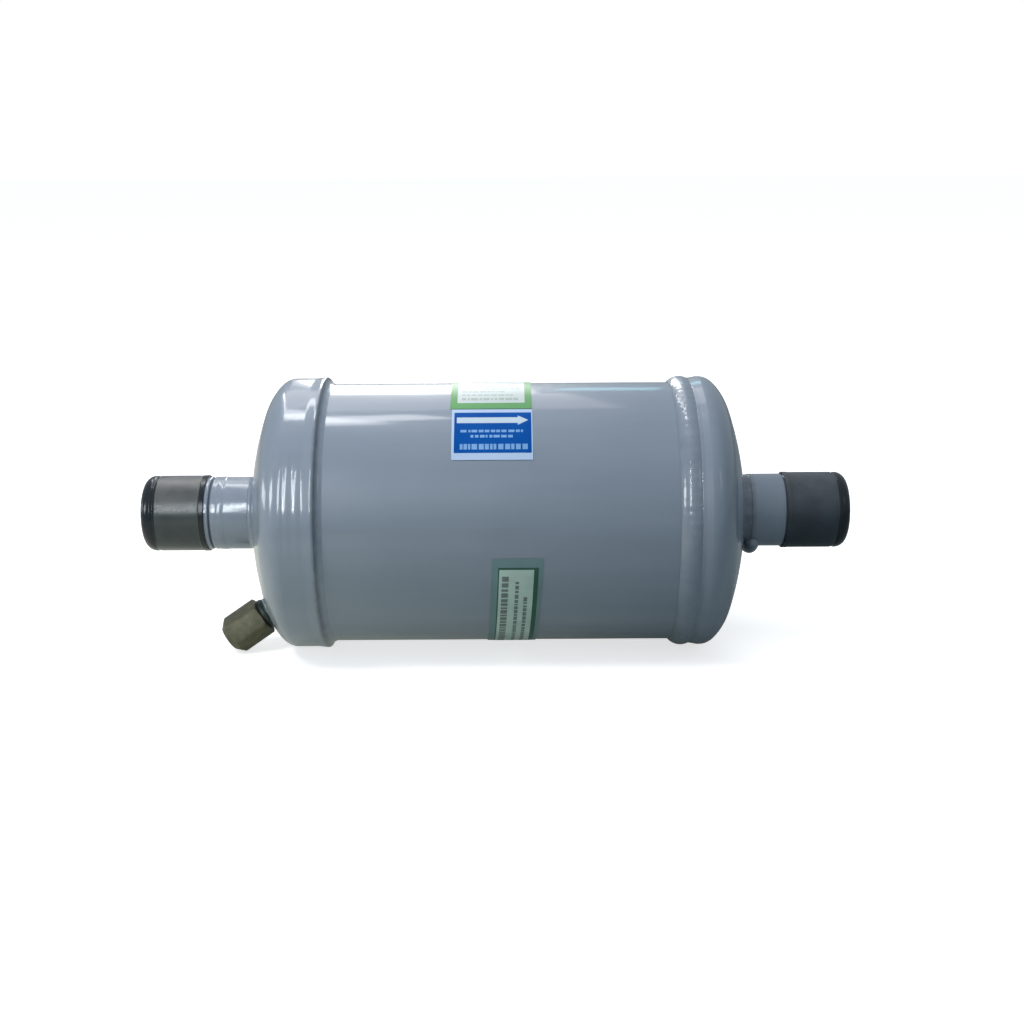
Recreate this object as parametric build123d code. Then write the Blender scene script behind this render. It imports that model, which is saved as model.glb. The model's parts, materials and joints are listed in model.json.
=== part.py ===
from build123d import *
from math import asin, cos, degrees, pi, radians, sin, sqrt
import os

# Suction line filter for refrigeration pipework.
# A length of steel tube is closed by two drawn end caps that lap over it and are welded round.
# Each cap carries a solder socket for the copper line, shut by a slip-on shipping cap.
# A service valve with a hexagon cap sits low on the inlet end, and a pleated element is inside.
# Millimetres. +X is the way the gas flows, +Z is up, the origin is the middle of the shell's axis.

# Shell
shell_radius = 57.15
shell_wall = 2.0
shell_half_length = 86.0
lap_gap = 0.15

# Drawn end caps, with a rounded corner, a shoulder and a shallow crown
cap_wall = 2.4
corner_radius = 7.6
corner_turn = 43.0
shoulder_radius = 23.0
shoulder_turn = 70.0
shell_setback = 2.5
inlet_skirt_length = 13.9
inlet_lip_flare = 0.45
inlet_lip_width = 5.0
outlet_skirt_length = 5.6
outlet_lip_wall = 1.7
lip_round = 0.8

# Welds round the shell
inlet_weld_width = 4.2
inlet_weld_drop = 0.45
inlet_weld_bulge = 0.55
outlet_weld_width = 8.0
outlet_weld_height = 2.7
outlet_weld_edge = 1.35

# Solder sockets, one turned part at each end
socket_radius = 14.35
socket_depth = 24.3
fitting_radius = 16.15
fitting_reach = 62.3
mouth_bevel = 0.5
throat_radius = 12.9
spigot_radius = 15.4
spigot_gap = 0.1
spigot_reach = 2.2
inlet_shoulder_gap = 0.3
outlet_neck_length = 3.6
stop_groove_width = 1.4
stop_groove_depth = 0.7
ripple_offset = 4.6
ripple_width = 3.2
ripple_height = 0.3

# Welds round the sockets; each is drawn this far below the crown and then trimmed by it
weld_root = 1.0
fillet_hollow = 0.3
inlet_port_weld_leg = 2.2
outlet_port_weld_rise = 0.5
weld_lump_radius = 3.3
weld_lump_shift = 1.0
weld_lump_angle = 66.0
weld_lump_sweep = 34.0

# Slip-on shipping caps
slip_gap = 0.05
slip_cap_wall = 0.6
slip_cap_length = 28.2
slip_cap_end = 2.2
slip_cap_corner = 4.6
slip_inner_corner = 1.3
slip_groove_offset = 5.6
slip_groove_width = 1.2
slip_groove_depth = 0.3
slip_rim_width = 2.2
slip_rim_rise = 0.15
inlet_slip_space = 3.9
outlet_slip_space = 1.4
pull_notch_width = 2.0
pull_notch_length = 2.6
pull_notch_angle = 18.0

# Service valve on the inlet crown, this far in from the shell's outside, pointing down and away;
# its turn brings it forward from straight below the axis
valve_inset = 13.95
valve_tilt = 34.5
valve_turn = 15.0
boss_radius = 6.3
boss_height = 2.2
boss_depth = 4.2
boss_gap = 0.1
flange_radius = 6.9
flange_height = 2.1
braze_width = 2.2
braze_height = 1.8
thread_radius = 5.55
thread_length = 11.8
thread_bevel = 0.7
chamber_radius = 2.7
chamber_depth = 13.6
passage_radius = 1.6

# Hexagon valve cap and its gasket
hex_across_flats = 15.88
hex_corner_trim = 0.3
hex_turn = 30.0
hex_length = 18.6
hex_end_bevel = 3.3
hex_rear_bevel = 0.8
hex_rear_gap = 0.3
thread_gap = 0.1
cap_roof = 5.2
gasket_thickness = 1.5
gasket_clearance = 0.25
gasket_gap = 0.05

# Valve core: body, spring, pin and seal
core_gap = 0.06
core_recess = 0.9
core_length = 7.6
core_pocket_radius = 1.9
core_pocket_depth = 4.6
pin_radius = 0.75
pin_gap = 0.08
pin_head_radius = 1.35
pin_head_height = 0.8
pin_head_rise = 0.5
plug_radius = 1.9
plug_height = 1.2
seal_height = 0.9
seal_gap = 0.05
core_spring_wire = 0.22
core_spring_radius = 1.3
core_spring_turns = 3

# Labels, each one layer on the shell
label_thickness = 0.15
label_gap = 0.1
label_spacing = 0.5
flow_label_width = 33.6
flow_label_height = 26.7
flow_label_centre_x = -2.1
upper_label_width = 34.3
upper_label_height = 43.8
upper_label_centre_x = -2.6
upper_label_angle = 85.6
lower_label_width = 20.9
lower_label_height = 75.0
lower_label_centre_x = 6.6
lower_label_angle = -42.5
lower_label_slant = 2.5

# Filter element: pleated sheet on a perforated tube between two pressed discs
baffle_setback = 20.0
baffle_wall = 1.5
baffle_rim = 8.0
baffle_gap = 0.1
baffle_hole_radius = 17.5
felt_thickness = 3.0
felt_width = 12.0
disc_wall = 1.2
disc_rim = 7.0
disc_gap = 0.4
pleat_count = 32
pleat_outer_radius = 43.0
pleat_inner_radius = 23.6
pleat_sheet = 1.1
pleat_tip_width = 3.4
pleat_root_width = 2.0
core_tube_gap = 0.4
core_tube_wall = 0.8
core_hole_radius = 3.2
core_hole_rows = 4
core_hole_columns = 6

# Element spring and the spider that backs it
spider_wall = 1.5
spider_gap = 0.1
spider_ring_width = 6.0
spider_hub_radius = 19.0
spider_hole_radius = 6.0
spider_arm_width = 11.0
spider_arms = 3
element_spring_space = 29.6
element_spring_wire = 1.25
element_spring_radius = 15.0
element_spring_turns = 3
element_spring_gap = 0.05
spring_wire_sides = 8
locator_gap = 0.4
locator_wall = 1.2
locator_height = 3.0

# Values that several pieces share
valve_offset = shell_radius - valve_inset
cap_inner_radius = shell_radius + lap_gap
skirt_radius = cap_inner_radius + cap_wall
skirt_end_x = shell_half_length + shell_setback
inlet_lip_x = skirt_end_x - inlet_skirt_length
outlet_lip_x = skirt_end_x - outlet_skirt_length
shell_bore = shell_radius - shell_wall
baffle_x = shell_half_length - baffle_setback
port_hole_radius = spigot_radius + spigot_gap
fitting_mouth_x = skirt_end_x + fitting_reach
stop_x = fitting_mouth_x - socket_depth

# The flow label hangs below the upper one, a little apart from it along the shell's girth
label_radius = shell_radius + label_gap
label_step = (upper_label_height + flow_label_height) / 2 + label_spacing
flow_label_angle = upper_label_angle - degrees(label_step / label_radius)

# Centres of the three arcs of the cap's meridian, as distance past the skirt and radius
corner_centre = (0.0, skirt_radius - corner_radius)
shoulder_centre = (
    (corner_radius - shoulder_radius) * sin(radians(corner_turn)),
    corner_centre[1] + (corner_radius - shoulder_radius) * cos(radians(corner_turn)),
)
crown_radius = shoulder_radius + shoulder_centre[1] / cos(radians(shoulder_turn))
crown_centre_x = (
    skirt_end_x
    + shoulder_centre[0]
    + (shoulder_radius - crown_radius) * sin(radians(shoulder_turn))
)


UPWARDS = (Align.CENTER, Align.CENTER, Align.MIN)


def crown_x(radius, inset=0.0):
    """Distance along the axis of the crown at a radius, on a surface inset from the outside."""
    return crown_centre_x + sqrt((crown_radius - inset) ** 2 - radius**2)


def turned(points):
    """Solid of revolution about X from a closed outline of (x, radius) points."""
    return revolve(make_face(Polyline(*points, close=True)), Axis.X)


def upright(points):
    """Solid of revolution about Z from a closed outline of (radius, height) points."""
    face = make_face(Polyline(*[(r, 0, h) for r, h in points], close=True))
    return revolve(face, Axis.Z)


def to_inlet(shape):
    """The same shape at the inlet end."""
    return mirror(shape, Plane.YZ)


def arc_about(centre, radius, start, end):
    """Arc whose angles are measured from the radial direction towards the end of the filter."""
    return CenterArc((skirt_end_x + centre[0], centre[1]), radius, 90 - start, start - end)


def meridian(inset):
    """Corner, shoulder and crown of the end cap, as one chain of arcs that ends on the axis."""
    crown_offset = (crown_centre_x - skirt_end_x, 0.0)
    return [
        arc_about(corner_centre, corner_radius - inset, 0, corner_turn),
        arc_about(shoulder_centre, shoulder_radius - inset, corner_turn, shoulder_turn),
        arc_about(crown_offset, crown_radius - inset, shoulder_turn, 90),
    ]


def end_envelope():
    """Everything inside the outer surface of an outlet-side cap, for trimming welds."""
    arcs = meridian(0.0)
    rim = arcs[0] @ 0
    apex = arcs[-1] @ 1
    edges = arcs + [
        Line(apex, (0, 0)),
        Line((0, 0), (0, skirt_radius)),
        Line((0, skirt_radius), rim),
    ]
    return revolve(make_face(edges), Axis.X)


def end_cap(lip_x, lip_wall, lip_width):
    """Drawn cap on the outlet side; its wall at the open edge is lip_wall, over lip_width."""
    outer = meridian(0.0)
    inner = meridian(cap_wall)
    lip_radius = cap_inner_radius + lip_wall
    edges = outer + inner + [
        Line(outer[-1] @ 1, inner[-1] @ 1),
        Line(inner[0] @ 0, (lip_x, cap_inner_radius)),
        Line((lip_x, cap_inner_radius), (lip_x, lip_radius - lip_round)),
        CenterArc((lip_x + lip_round, lip_radius - lip_round), lip_round, 90, 90),
        Line((lip_x + lip_round, lip_radius), (lip_x + lip_width, skirt_radius)),
        Line((lip_x + lip_width, skirt_radius), outer[0] @ 0),
    ]
    cap = revolve(make_face(edges), Axis.X)
    return cap - Rot(0, 90, 0) * Cylinder(port_hole_radius, fitting_mouth_x, align=UPWARDS)


def make_shell():
    """Plain tube of the body."""
    x = shell_half_length
    return turned([(-x, shell_bore), (x, shell_bore), (x, shell_radius), (-x, shell_radius)])


def make_inlet_seam_weld():
    """Fillet weld in the step between the flared lip and the shell."""
    foot_x = inlet_lip_x - inlet_weld_width
    top = shell_radius + lap_gap + cap_wall + inlet_lip_flare - lip_round - inlet_weld_drop
    middle = ((foot_x + inlet_lip_x) / 2, (shell_radius + top) / 2 + inlet_weld_bulge)
    edges = [
        ThreePointArc((foot_x, shell_radius), middle, (inlet_lip_x, top)),
        Line((inlet_lip_x, top), (inlet_lip_x, shell_radius)),
        Line((inlet_lip_x, shell_radius), (foot_x, shell_radius)),
    ]
    return to_inlet(revolve(make_face(edges), Axis.X))


def make_outlet_seam_weld():
    """Tall round bead against the lip of the outlet cap."""
    foot_x = outlet_lip_x - outlet_weld_width
    top = (outlet_lip_x, shell_radius + outlet_weld_edge)
    crest = ((foot_x + outlet_lip_x) / 2, shell_radius + outlet_weld_height)
    edges = [
        ThreePointArc((foot_x, shell_radius), crest, top),
        Line(top, (outlet_lip_x, shell_radius)),
        Line((outlet_lip_x, shell_radius), (foot_x, shell_radius)),
    ]
    return revolve(make_face(edges), Axis.X)


def make_fitting(shoulder_x, ripple):
    """Turned solder socket: spigot in the cap, shoulder, stop groove, bevelled mouth."""
    inner_end = crown_x(spigot_radius, cap_wall) - spigot_reach
    groove_from = stop_x - stop_groove_width / 2
    groove_to = stop_x + stop_groove_width / 2
    socket_end = fitting_mouth_x
    outline = [
        (inner_end, throat_radius),
        (inner_end, spigot_radius),
        (shoulder_x, spigot_radius),
        (shoulder_x, fitting_radius),
        (groove_from, fitting_radius),
        (stop_x, fitting_radius - stop_groove_depth),
        (groove_to, fitting_radius),
        (socket_end - mouth_bevel, fitting_radius),
        (socket_end, fitting_radius - mouth_bevel),
        (socket_end, socket_radius + mouth_bevel),
        (socket_end - mouth_bevel, socket_radius),
        (stop_x, socket_radius),
        (stop_x, throat_radius),
    ]
    body = turned(outline)
    if ripple:
        middle = stop_x - ripple_offset
        start = (middle - ripple_width / 2, fitting_radius)
        end = (middle + ripple_width / 2, fitting_radius)
        crest = (middle, fitting_radius + ripple_height)
        ring = make_face([ThreePointArc(start, crest, end), Line(end, start)])
        body = body + revolve(ring, Axis.X)
    return body


def inlet_shoulder_x():
    """Where the inlet socket's shoulder stands, just off the crown."""
    return crown_x(fitting_radius) + inlet_shoulder_gap


def outlet_shoulder_x():
    """Where the outlet socket's shoulder stands, past an open neck."""
    return crown_x(spigot_radius) + outlet_neck_length


def make_inlet_port_weld():
    """Small hollow fillet between the crown and the inlet socket."""
    foot_radius = fitting_radius + inlet_port_weld_leg
    foot_x = crown_x(foot_radius)
    base_x = foot_x - weld_root
    shoulder_x = inlet_shoulder_x()
    tube_x = shoulder_x + inlet_port_weld_leg
    hollow = fillet_hollow * inlet_port_weld_leg
    middle = (shoulder_x + hollow, fitting_radius + hollow)
    edges = [
        Polyline((foot_x, foot_radius), (base_x, foot_radius), (base_x, spigot_radius)),
        Polyline((base_x, spigot_radius), (shoulder_x, spigot_radius), (shoulder_x, fitting_radius)),
        Line((shoulder_x, fitting_radius), (tube_x, fitting_radius)),
        ThreePointArc((tube_x, fitting_radius), middle, (foot_x, foot_radius)),
    ]
    return to_inlet(revolve(make_face(edges), Axis.X) - end_envelope())


def make_outlet_port_weld():
    """Bead down in the neck of the outlet socket, with the lump where the run was ended."""
    bead_radius = spigot_radius + outlet_port_weld_rise
    shoulder_x = outlet_shoulder_x()
    base_x = crown_x(bead_radius) - weld_root
    bead = turned(
        [
            (base_x, spigot_radius),
            (shoulder_x, spigot_radius),
            (shoulder_x, bead_radius),
            (base_x, bead_radius),
        ]
    )
    lump_x = shoulder_x + weld_lump_shift
    section = make_face([CenterArc((lump_x, fitting_radius), weld_lump_radius, 0, 360)])
    run = revolve(section, Axis.X, weld_lump_sweep)
    ends = [
        Rot(angle, 0, 0) * Pos(lump_x, fitting_radius, 0) * Sphere(weld_lump_radius)
        for angle in (0, weld_lump_sweep)
    ]
    lump = Rot(180 + weld_lump_angle - weld_lump_sweep / 2, 0, 0) * (run + ends[0] + ends[1])
    far_x = shoulder_x + 2 * weld_lump_radius
    socket = turned(
        [
            (0, 0),
            (0, spigot_radius),
            (shoulder_x, spigot_radius),
            (shoulder_x, fitting_radius),
            (far_x, fitting_radius),
            (far_x, 0),
        ]
    )
    return (bead - end_envelope()) + (lump - end_envelope() - socket)


def make_slip_cap(space):
    """Thin slip-on cap over the socket, with a rolled rim, a groove and a rounded end."""
    inner = fitting_radius + slip_gap
    outer = inner + slip_cap_wall
    floor_x = fitting_mouth_x + space
    end_x = floor_x + slip_cap_end
    mouth_x = end_x - slip_cap_length
    groove_x = end_x - slip_groove_offset
    face = make_face(
        [
            Polyline(
                (mouth_x, inner),
                (mouth_x, outer + slip_rim_rise),
                (mouth_x + slip_rim_width, outer + slip_rim_rise),
                (mouth_x + slip_rim_width + slip_rim_rise, outer),
                (groove_x - slip_groove_width, outer),
                (groove_x, outer - slip_groove_depth),
                (groove_x + slip_groove_width / 2, outer),
                (end_x - slip_cap_corner, outer),
            ),
            CenterArc((end_x - slip_cap_corner, outer - slip_cap_corner), slip_cap_corner, 0, 90),
            Line((end_x, outer - slip_cap_corner), (end_x, 0)),
            Line((end_x, 0), (floor_x, 0)),
            Line((floor_x, 0), (floor_x, inner - slip_inner_corner)),
            CenterArc((floor_x - slip_inner_corner, inner - slip_inner_corner), slip_inner_corner, 0, 90),
            Line((floor_x - slip_inner_corner, inner), (mouth_x, inner)),
        ]
    )
    cap = revolve(face, Axis.X)
    notch = Pos(groove_x - slip_groove_width / 2, -outer, 0) * Box(
        pull_notch_length, 2 * slip_groove_depth, pull_notch_width
    )
    return cap - Rot(-pull_notch_angle, 0, 0) * notch


# Place of the service valve: worked out straight below the axis, then turned forward with its crown
forward = Rot(-valve_turn, 0, 0)
valve_origin = Vector(-crown_x(valve_offset), 0, -valve_offset)
valve_direction = Vector(-cos(radians(valve_tilt)), 0, -sin(radians(valve_tilt)))
valve_plane = Plane(origin=valve_origin, x_dir=(0, 1, 0), z_dir=valve_direction)
valve_place = forward * valve_plane.location

# The crown's own slope at that place, for the filler metal that lies on it
crown_slope = asin(valve_offset / crown_radius)
crown_normal = Vector(-cos(crown_slope), 0, -sin(crown_slope))
crown_plane = Plane(origin=valve_origin, x_dir=(0, 1, 0), z_dir=crown_normal)
crown_place = forward * crown_plane.location

flange_top = boss_height + flange_height
stem_top = flange_top + thread_length
chamber_floor = stem_top - chamber_depth
hex_rear = flange_top + hex_rear_gap
hex_front = hex_rear + hex_length
roof_height = hex_front - cap_roof
core_top = stem_top - core_recess
core_bottom = core_top - core_length


def make_valve_stem():
    """Brass body: painted boss in the crown, round flange, outside thread, core chamber."""
    outline = [
        (passage_radius, -boss_depth),
        (boss_radius, -boss_depth),
        (boss_radius, boss_height),
        (flange_radius, boss_height),
        (flange_radius, flange_top),
        (thread_radius, flange_top),
        (thread_radius, stem_top - thread_bevel),
        (thread_radius - thread_bevel, stem_top),
        (chamber_radius, stem_top),
        (chamber_radius, chamber_floor),
        (passage_radius, chamber_floor),
    ]
    return valve_place * upright(outline)


def make_valve_braze():
    """Hollow fillet of filler metal round the boss; it sits square on the crown, not on the boss."""
    foot = boss_radius + braze_width
    middle = (boss_radius + fillet_hollow * braze_width, 0, fillet_hollow * braze_height)
    edges = [
        Polyline((foot, 0, 0), (foot, 0, -boss_depth), (0, 0, -boss_depth), (0, 0, braze_height)),
        Line((0, 0, braze_height), (boss_radius, 0, braze_height)),
        ThreePointArc((boss_radius, 0, braze_height), middle, (foot, 0, 0)),
    ]
    mound = crown_place * revolve(make_face(edges), Axis.Z)
    reach = 2 * (boss_depth + braze_width)
    below_flange = Pos(0, 0, boss_height - reach) * Cylinder(2 * foot, reach, align=UPWARDS)
    boss = Pos(0, 0, -reach) * Cylinder(boss_radius, 2 * reach, align=UPWARDS)
    return (mound & valve_place * below_flange) - valve_place * boss - to_inlet(end_envelope())


def make_inlet_end_cap():
    """The cap with the flared lip, and the hole that the valve's boss sits in."""
    cap = to_inlet(end_cap(inlet_lip_x, cap_wall + inlet_lip_flare, inlet_lip_width))
    reach = flange_radius + cap_wall
    return cap - valve_place * Cylinder(boss_radius + boss_gap, 2 * reach)


def make_outlet_end_cap():
    """The cap whose lip tapers all the way to the corner."""
    return end_cap(outlet_lip_x, outlet_lip_wall, outlet_skirt_length - lip_round)


def make_valve_cap():
    """Hexagon cap with trimmed corners and bevelled ends, bored for the thread and the gasket."""
    sharp_corner = hex_across_flats / 2 / cos(pi / 6)
    hexagon = Rot(0, 0, hex_turn) * RegularPolygon(sharp_corner, 6)
    prism = extrude(Pos(0, 0, hex_rear) * hexagon, hex_length)
    corner = sharp_corner - hex_corner_trim
    slope = hex_end_bevel
    envelope = upright(
        [
            (0, hex_rear),
            (corner - hex_rear_bevel, hex_rear),
            (corner, hex_rear + hex_rear_bevel / 2),
            (corner, hex_front - slope),
            (corner - slope, hex_front),
            (0, hex_front),
        ]
    )
    bore_length = roof_height - hex_rear
    bore = Pos(0, 0, hex_rear) * Cylinder(thread_radius + thread_gap, bore_length, align=UPWARDS)
    return valve_place * ((prism & envelope) - bore)


def make_cap_gasket():
    """Rubber disc in the roof of the hexagon cap."""
    radius = thread_radius + thread_gap - gasket_clearance
    base = roof_height - gasket_gap - gasket_thickness
    return valve_place * (Pos(0, 0, base) * Cylinder(radius, gasket_thickness, align=UPWARDS))


def make_core_body():
    """Barrel of the valve core, with a pocket for the spring and a hole for the pin."""
    outer = chamber_radius - core_gap
    pocket_floor = core_top - core_pocket_depth
    outline = [
        (pin_radius + pin_gap, core_bottom),
        (outer, core_bottom),
        (outer, core_top),
        (core_pocket_radius, core_top),
        (core_pocket_radius, pocket_floor),
        (pin_radius + pin_gap, pocket_floor),
    ]
    return valve_place * upright(outline)


def pin_top():
    """Height of the pin's head above the valve's base."""
    return core_top + pin_head_rise


def make_core_pin():
    """Pin that opens the core: head, shaft and sealing plug in one."""
    head = pin_top()
    plug_top = core_bottom - seal_gap - seal_height
    outline = [
        (0, head),
        (pin_head_radius, head),
        (pin_head_radius, head - pin_head_height),
        (pin_radius, head - pin_head_height),
        (pin_radius, plug_top),
        (plug_radius, plug_top),
        (plug_radius, plug_top - plug_height),
        (0, plug_top - plug_height),
    ]
    return valve_place * upright(outline)


def make_core_seal():
    """Rubber ring on the plug, which shuts against the barrel."""
    base = core_bottom - seal_gap - seal_height
    outline = [
        (pin_radius, base),
        (plug_radius, base),
        (plug_radius, base + seal_height),
        (pin_radius, base + seal_height),
    ]
    return valve_place * upright(outline)


def coil(radius, wire, turns, length):
    """Open coil spring along Z, from its first wire centre upwards; the wire is many-sided."""
    path = Helix(pitch=length / turns, height=length, radius=radius)
    section = Plane(origin=path @ 0, z_dir=path % 0) * RegularPolygon(wire, spring_wire_sides)
    return sweep(section, path=path)


def make_core_spring():
    """Spring between the barrel's pocket and the head of the pin."""
    wire = core_spring_wire
    floor = core_top - core_pocket_depth + wire + seal_gap
    length = pin_top() - pin_head_height - wire - seal_gap - floor
    return valve_place * (Pos(0, 0, floor) * coil(core_spring_radius, wire, core_spring_turns, length))


def label(width, height, centre_x, angle):
    """Thin sheet bent round the shell; its middle's angle rises from the front, the -Y side."""
    section = Pos(centre_x, label_radius + label_thickness / 2) * Rectangle(width, label_thickness)
    sweep_angle = degrees(height / label_radius)
    sheet = revolve(section, Axis.X, sweep_angle)
    # The section starts on the +Y side, so half a turn brings it to the front.
    return Rot(180 - angle - sweep_angle / 2, 0, 0) * sheet


def make_flow_label():
    """Wide label with the arrow, on the front of the shell."""
    return label(flow_label_width, flow_label_height, flow_label_centre_x, flow_label_angle)


def make_upper_label():
    """Tall label over the top of the shell."""
    return label(upper_label_width, upper_label_height, upper_label_centre_x, upper_label_angle)


def make_lower_label():
    """Narrow label that runs under the shell, stuck on a little askew."""
    blank_width = 2 * lower_label_width
    sheet = label(blank_width, lower_label_height, lower_label_centre_x, lower_label_angle)
    knife = Box(lower_label_width, shell_radius, 2 * lower_label_height)
    knife = Pos(lower_label_centre_x, -shell_radius, 0) * Rot(0, lower_label_slant, 0) * knife
    return sheet & (Rot(-lower_label_angle, 0, 0) * knife)


# The spider lies on the inlet end of the shell, and the pleats fill what its spring leaves free
spider_face_x = -shell_half_length
closed_disc_x = spider_face_x + element_spring_space
media_from = closed_disc_x + disc_wall
media_to = baffle_x - felt_thickness - disc_wall
media_length = media_to - media_from
core_tube_radius = pleat_inner_radius - pleat_sheet - core_tube_gap


def make_baffle():
    """Pressed plate across the shell that the element seals on, with a rim along the wall."""
    outer = shell_bore - baffle_gap
    outline = [
        (baffle_x, baffle_hole_radius),
        (baffle_x, outer),
        (baffle_x + baffle_rim, outer),
        (baffle_x + baffle_rim, outer - baffle_wall),
        (baffle_x + baffle_wall, outer - baffle_wall),
        (baffle_x + baffle_wall, baffle_hole_radius),
    ]
    return turned(outline)


def make_felt_ring():
    """Felt seal between the open disc and the baffle."""
    inner = core_tube_radius
    outline = [
        (baffle_x - felt_thickness, inner),
        (baffle_x, inner),
        (baffle_x, inner + felt_width),
        (baffle_x - felt_thickness, inner + felt_width),
    ]
    return turned(outline)


def disc_outline(inner_radius):
    """Pressed disc at the outlet end of the pleats, with a rim that folds over them."""
    rim_inner = pleat_outer_radius + disc_gap
    outer = rim_inner + disc_wall
    return [
        (media_to, inner_radius),
        (media_to, rim_inner),
        (media_to - disc_rim, rim_inner),
        (media_to - disc_rim, outer),
        (media_to + disc_wall, outer),
        (media_to + disc_wall, inner_radius),
    ]


def make_open_disc():
    """Outlet disc, open in the middle to let the cleaned gas out."""
    return turned(disc_outline(core_tube_radius - core_tube_wall))


def locator(base_x, height):
    """Raised ring that holds one end of the spring in the middle."""
    outer = element_spring_radius - element_spring_wire - locator_gap
    return turned(
        [
            (base_x, outer - locator_wall),
            (base_x, outer),
            (base_x + height, outer),
            (base_x + height, outer - locator_wall),
        ]
    )


def make_closed_disc():
    """Inlet disc, closed, with the ring that centres the spring."""
    disc = mirror(turned(disc_outline(0.0)), Plane.YZ.offset((media_from + media_to) / 2))
    return disc + locator(closed_disc_x, -locator_height)


def make_media():
    """Pleated sheet, folded as a star with flat tips and roots."""

    def star(inset):
        """One closed loop of the fold; inset moves it towards the sheet's inner side."""
        points = []
        for pleat in range(pleat_count):
            middle = 2 * pi * pleat / pleat_count
            next_root = middle + pi / pleat_count
            tip_half = (pleat_tip_width / 2 - inset) / (pleat_outer_radius - inset)
            root_half = (pleat_root_width / 2 + inset) / (pleat_inner_radius - inset)
            for angle, radius in (
                (middle - tip_half, pleat_outer_radius - inset),
                (middle + tip_half, pleat_outer_radius - inset),
                (next_root - root_half, pleat_inner_radius - inset),
                (next_root + root_half, pleat_inner_radius - inset),
            ):
                points.append((radius * cos(angle), radius * sin(angle)))
        return make_face(Polyline(*points, close=True))

    section = star(0.0) - star(pleat_sheet)
    start = Plane(origin=(media_from, 0, 0), x_dir=(0, 1, 0), z_dir=(1, 0, 0))
    return extrude(start * section, media_length)


def make_core_tube():
    """Perforated tube that keeps the pleats from collapsing inwards."""
    outer = core_tube_radius
    inner = outer - core_tube_wall
    tube = turned([(media_from, inner), (media_to, inner), (media_to, outer), (media_from, outer)])
    row_pitch = media_length / core_hole_rows
    for row in range(core_hole_rows):
        for column in range(core_hole_columns):
            x = media_from + (row + 0.5) * row_pitch
            turn = 360 * (column + 0.5 * (row % 2)) / core_hole_columns
            drill = Cylinder(core_hole_radius, 2 * outer, align=UPWARDS)
            tube = tube - Rot(turn, 0, 0) * Pos(x, 0, 0) * drill
    return tube


def make_spider():
    """Three-armed plate at the inlet end of the shell, which backs the spring."""
    ring_outer = cap_inner_radius - spider_gap
    ring = Circle(ring_outer) - Circle(ring_outer - spider_ring_width)
    plate = ring + Circle(spider_hub_radius)
    for arm in range(spider_arms):
        length = ring_outer - spider_ring_width / 2
        bar = Pos(length / 2, 0) * Rectangle(length, spider_arm_width)
        plate = plate + Rot(0, 0, 90 + 360 * arm / spider_arms) * bar
    plate = plate - Circle(spider_hole_radius)
    face = Plane(origin=(spider_face_x, 0, 0), x_dir=(0, 1, 0), z_dir=(-1, 0, 0))
    return extrude(face * plate, spider_wall) + locator(spider_face_x, locator_height)


def make_element_spring():
    """Coil spring that presses the element on to the baffle."""
    wire = element_spring_wire
    start = spider_face_x + wire + element_spring_gap
    length = closed_disc_x - wire - element_spring_gap - start
    spring = coil(element_spring_radius, wire, element_spring_turns, length)
    return Pos(start, 0, 0) * Rot(0, 90, 0) * spring


nodes = {
    "shell": make_shell(),
    "inlet_end_cap": make_inlet_end_cap(),
    "outlet_end_cap": make_outlet_end_cap(),
    "inlet_seam_weld": make_inlet_seam_weld(),
    "outlet_seam_weld": make_outlet_seam_weld(),
    "inlet_socket_fitting": to_inlet(make_fitting(inlet_shoulder_x(), True)),
    "outlet_socket_fitting": make_fitting(outlet_shoulder_x(), False),
    "inlet_port_weld": make_inlet_port_weld(),
    "outlet_port_weld": make_outlet_port_weld(),
    "inlet_shipping_cap": to_inlet(make_slip_cap(inlet_slip_space)),
    "outlet_shipping_cap": make_slip_cap(outlet_slip_space),
    "valve_stem": make_valve_stem(),
    "valve_braze_ring": make_valve_braze(),
    "valve_cap": make_valve_cap(),
    "valve_cap_gasket": make_cap_gasket(),
    "valve_core_body": make_core_body(),
    "valve_core_pin": make_core_pin(),
    "valve_core_seal": make_core_seal(),
    "valve_core_spring": make_core_spring(),
    "flow_label": make_flow_label(),
    "upper_label": make_upper_label(),
    "lower_label": make_lower_label(),
    "outlet_baffle": make_baffle(),
    "felt_ring": make_felt_ring(),
    "element_open_disc": make_open_disc(),
    "element_closed_disc": make_closed_disc(),
    "element_media": make_media(),
    "element_core_tube": make_core_tube(),
    "inlet_spider": make_spider(),
    "element_spring": make_element_spring(),
}

os.makedirs("parts", exist_ok=True)
for name, shape in nodes.items():
    export_step(shape, f"parts/{name}.step")
    print(f"{name}: {len(shape.solids())} solid, {shape.volume:.0f} mm3")
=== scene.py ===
# %% [markdown]
# A suction filter for refrigeration pipework, dressed for its picture.
# The real one is a length of steel tube with two drawn end caps lapped over it and welded round.
# Each cap carries a solder socket, shut by a push-on plastic cap, and a service valve sits low on one end.
# The solids of every piece come ready made and stay where they are. This lesson gives them their looks:
# turned pieces get fine smooth meshes, the labels get their print, and every surface gets a finish.

# %% Load the frame
import json
from math import asin, atan2, cos, degrees, pi, radians, sin, sqrt, tan
from random import Random

import bmesh
import bpy
from mathutils import Matrix, Vector


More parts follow.
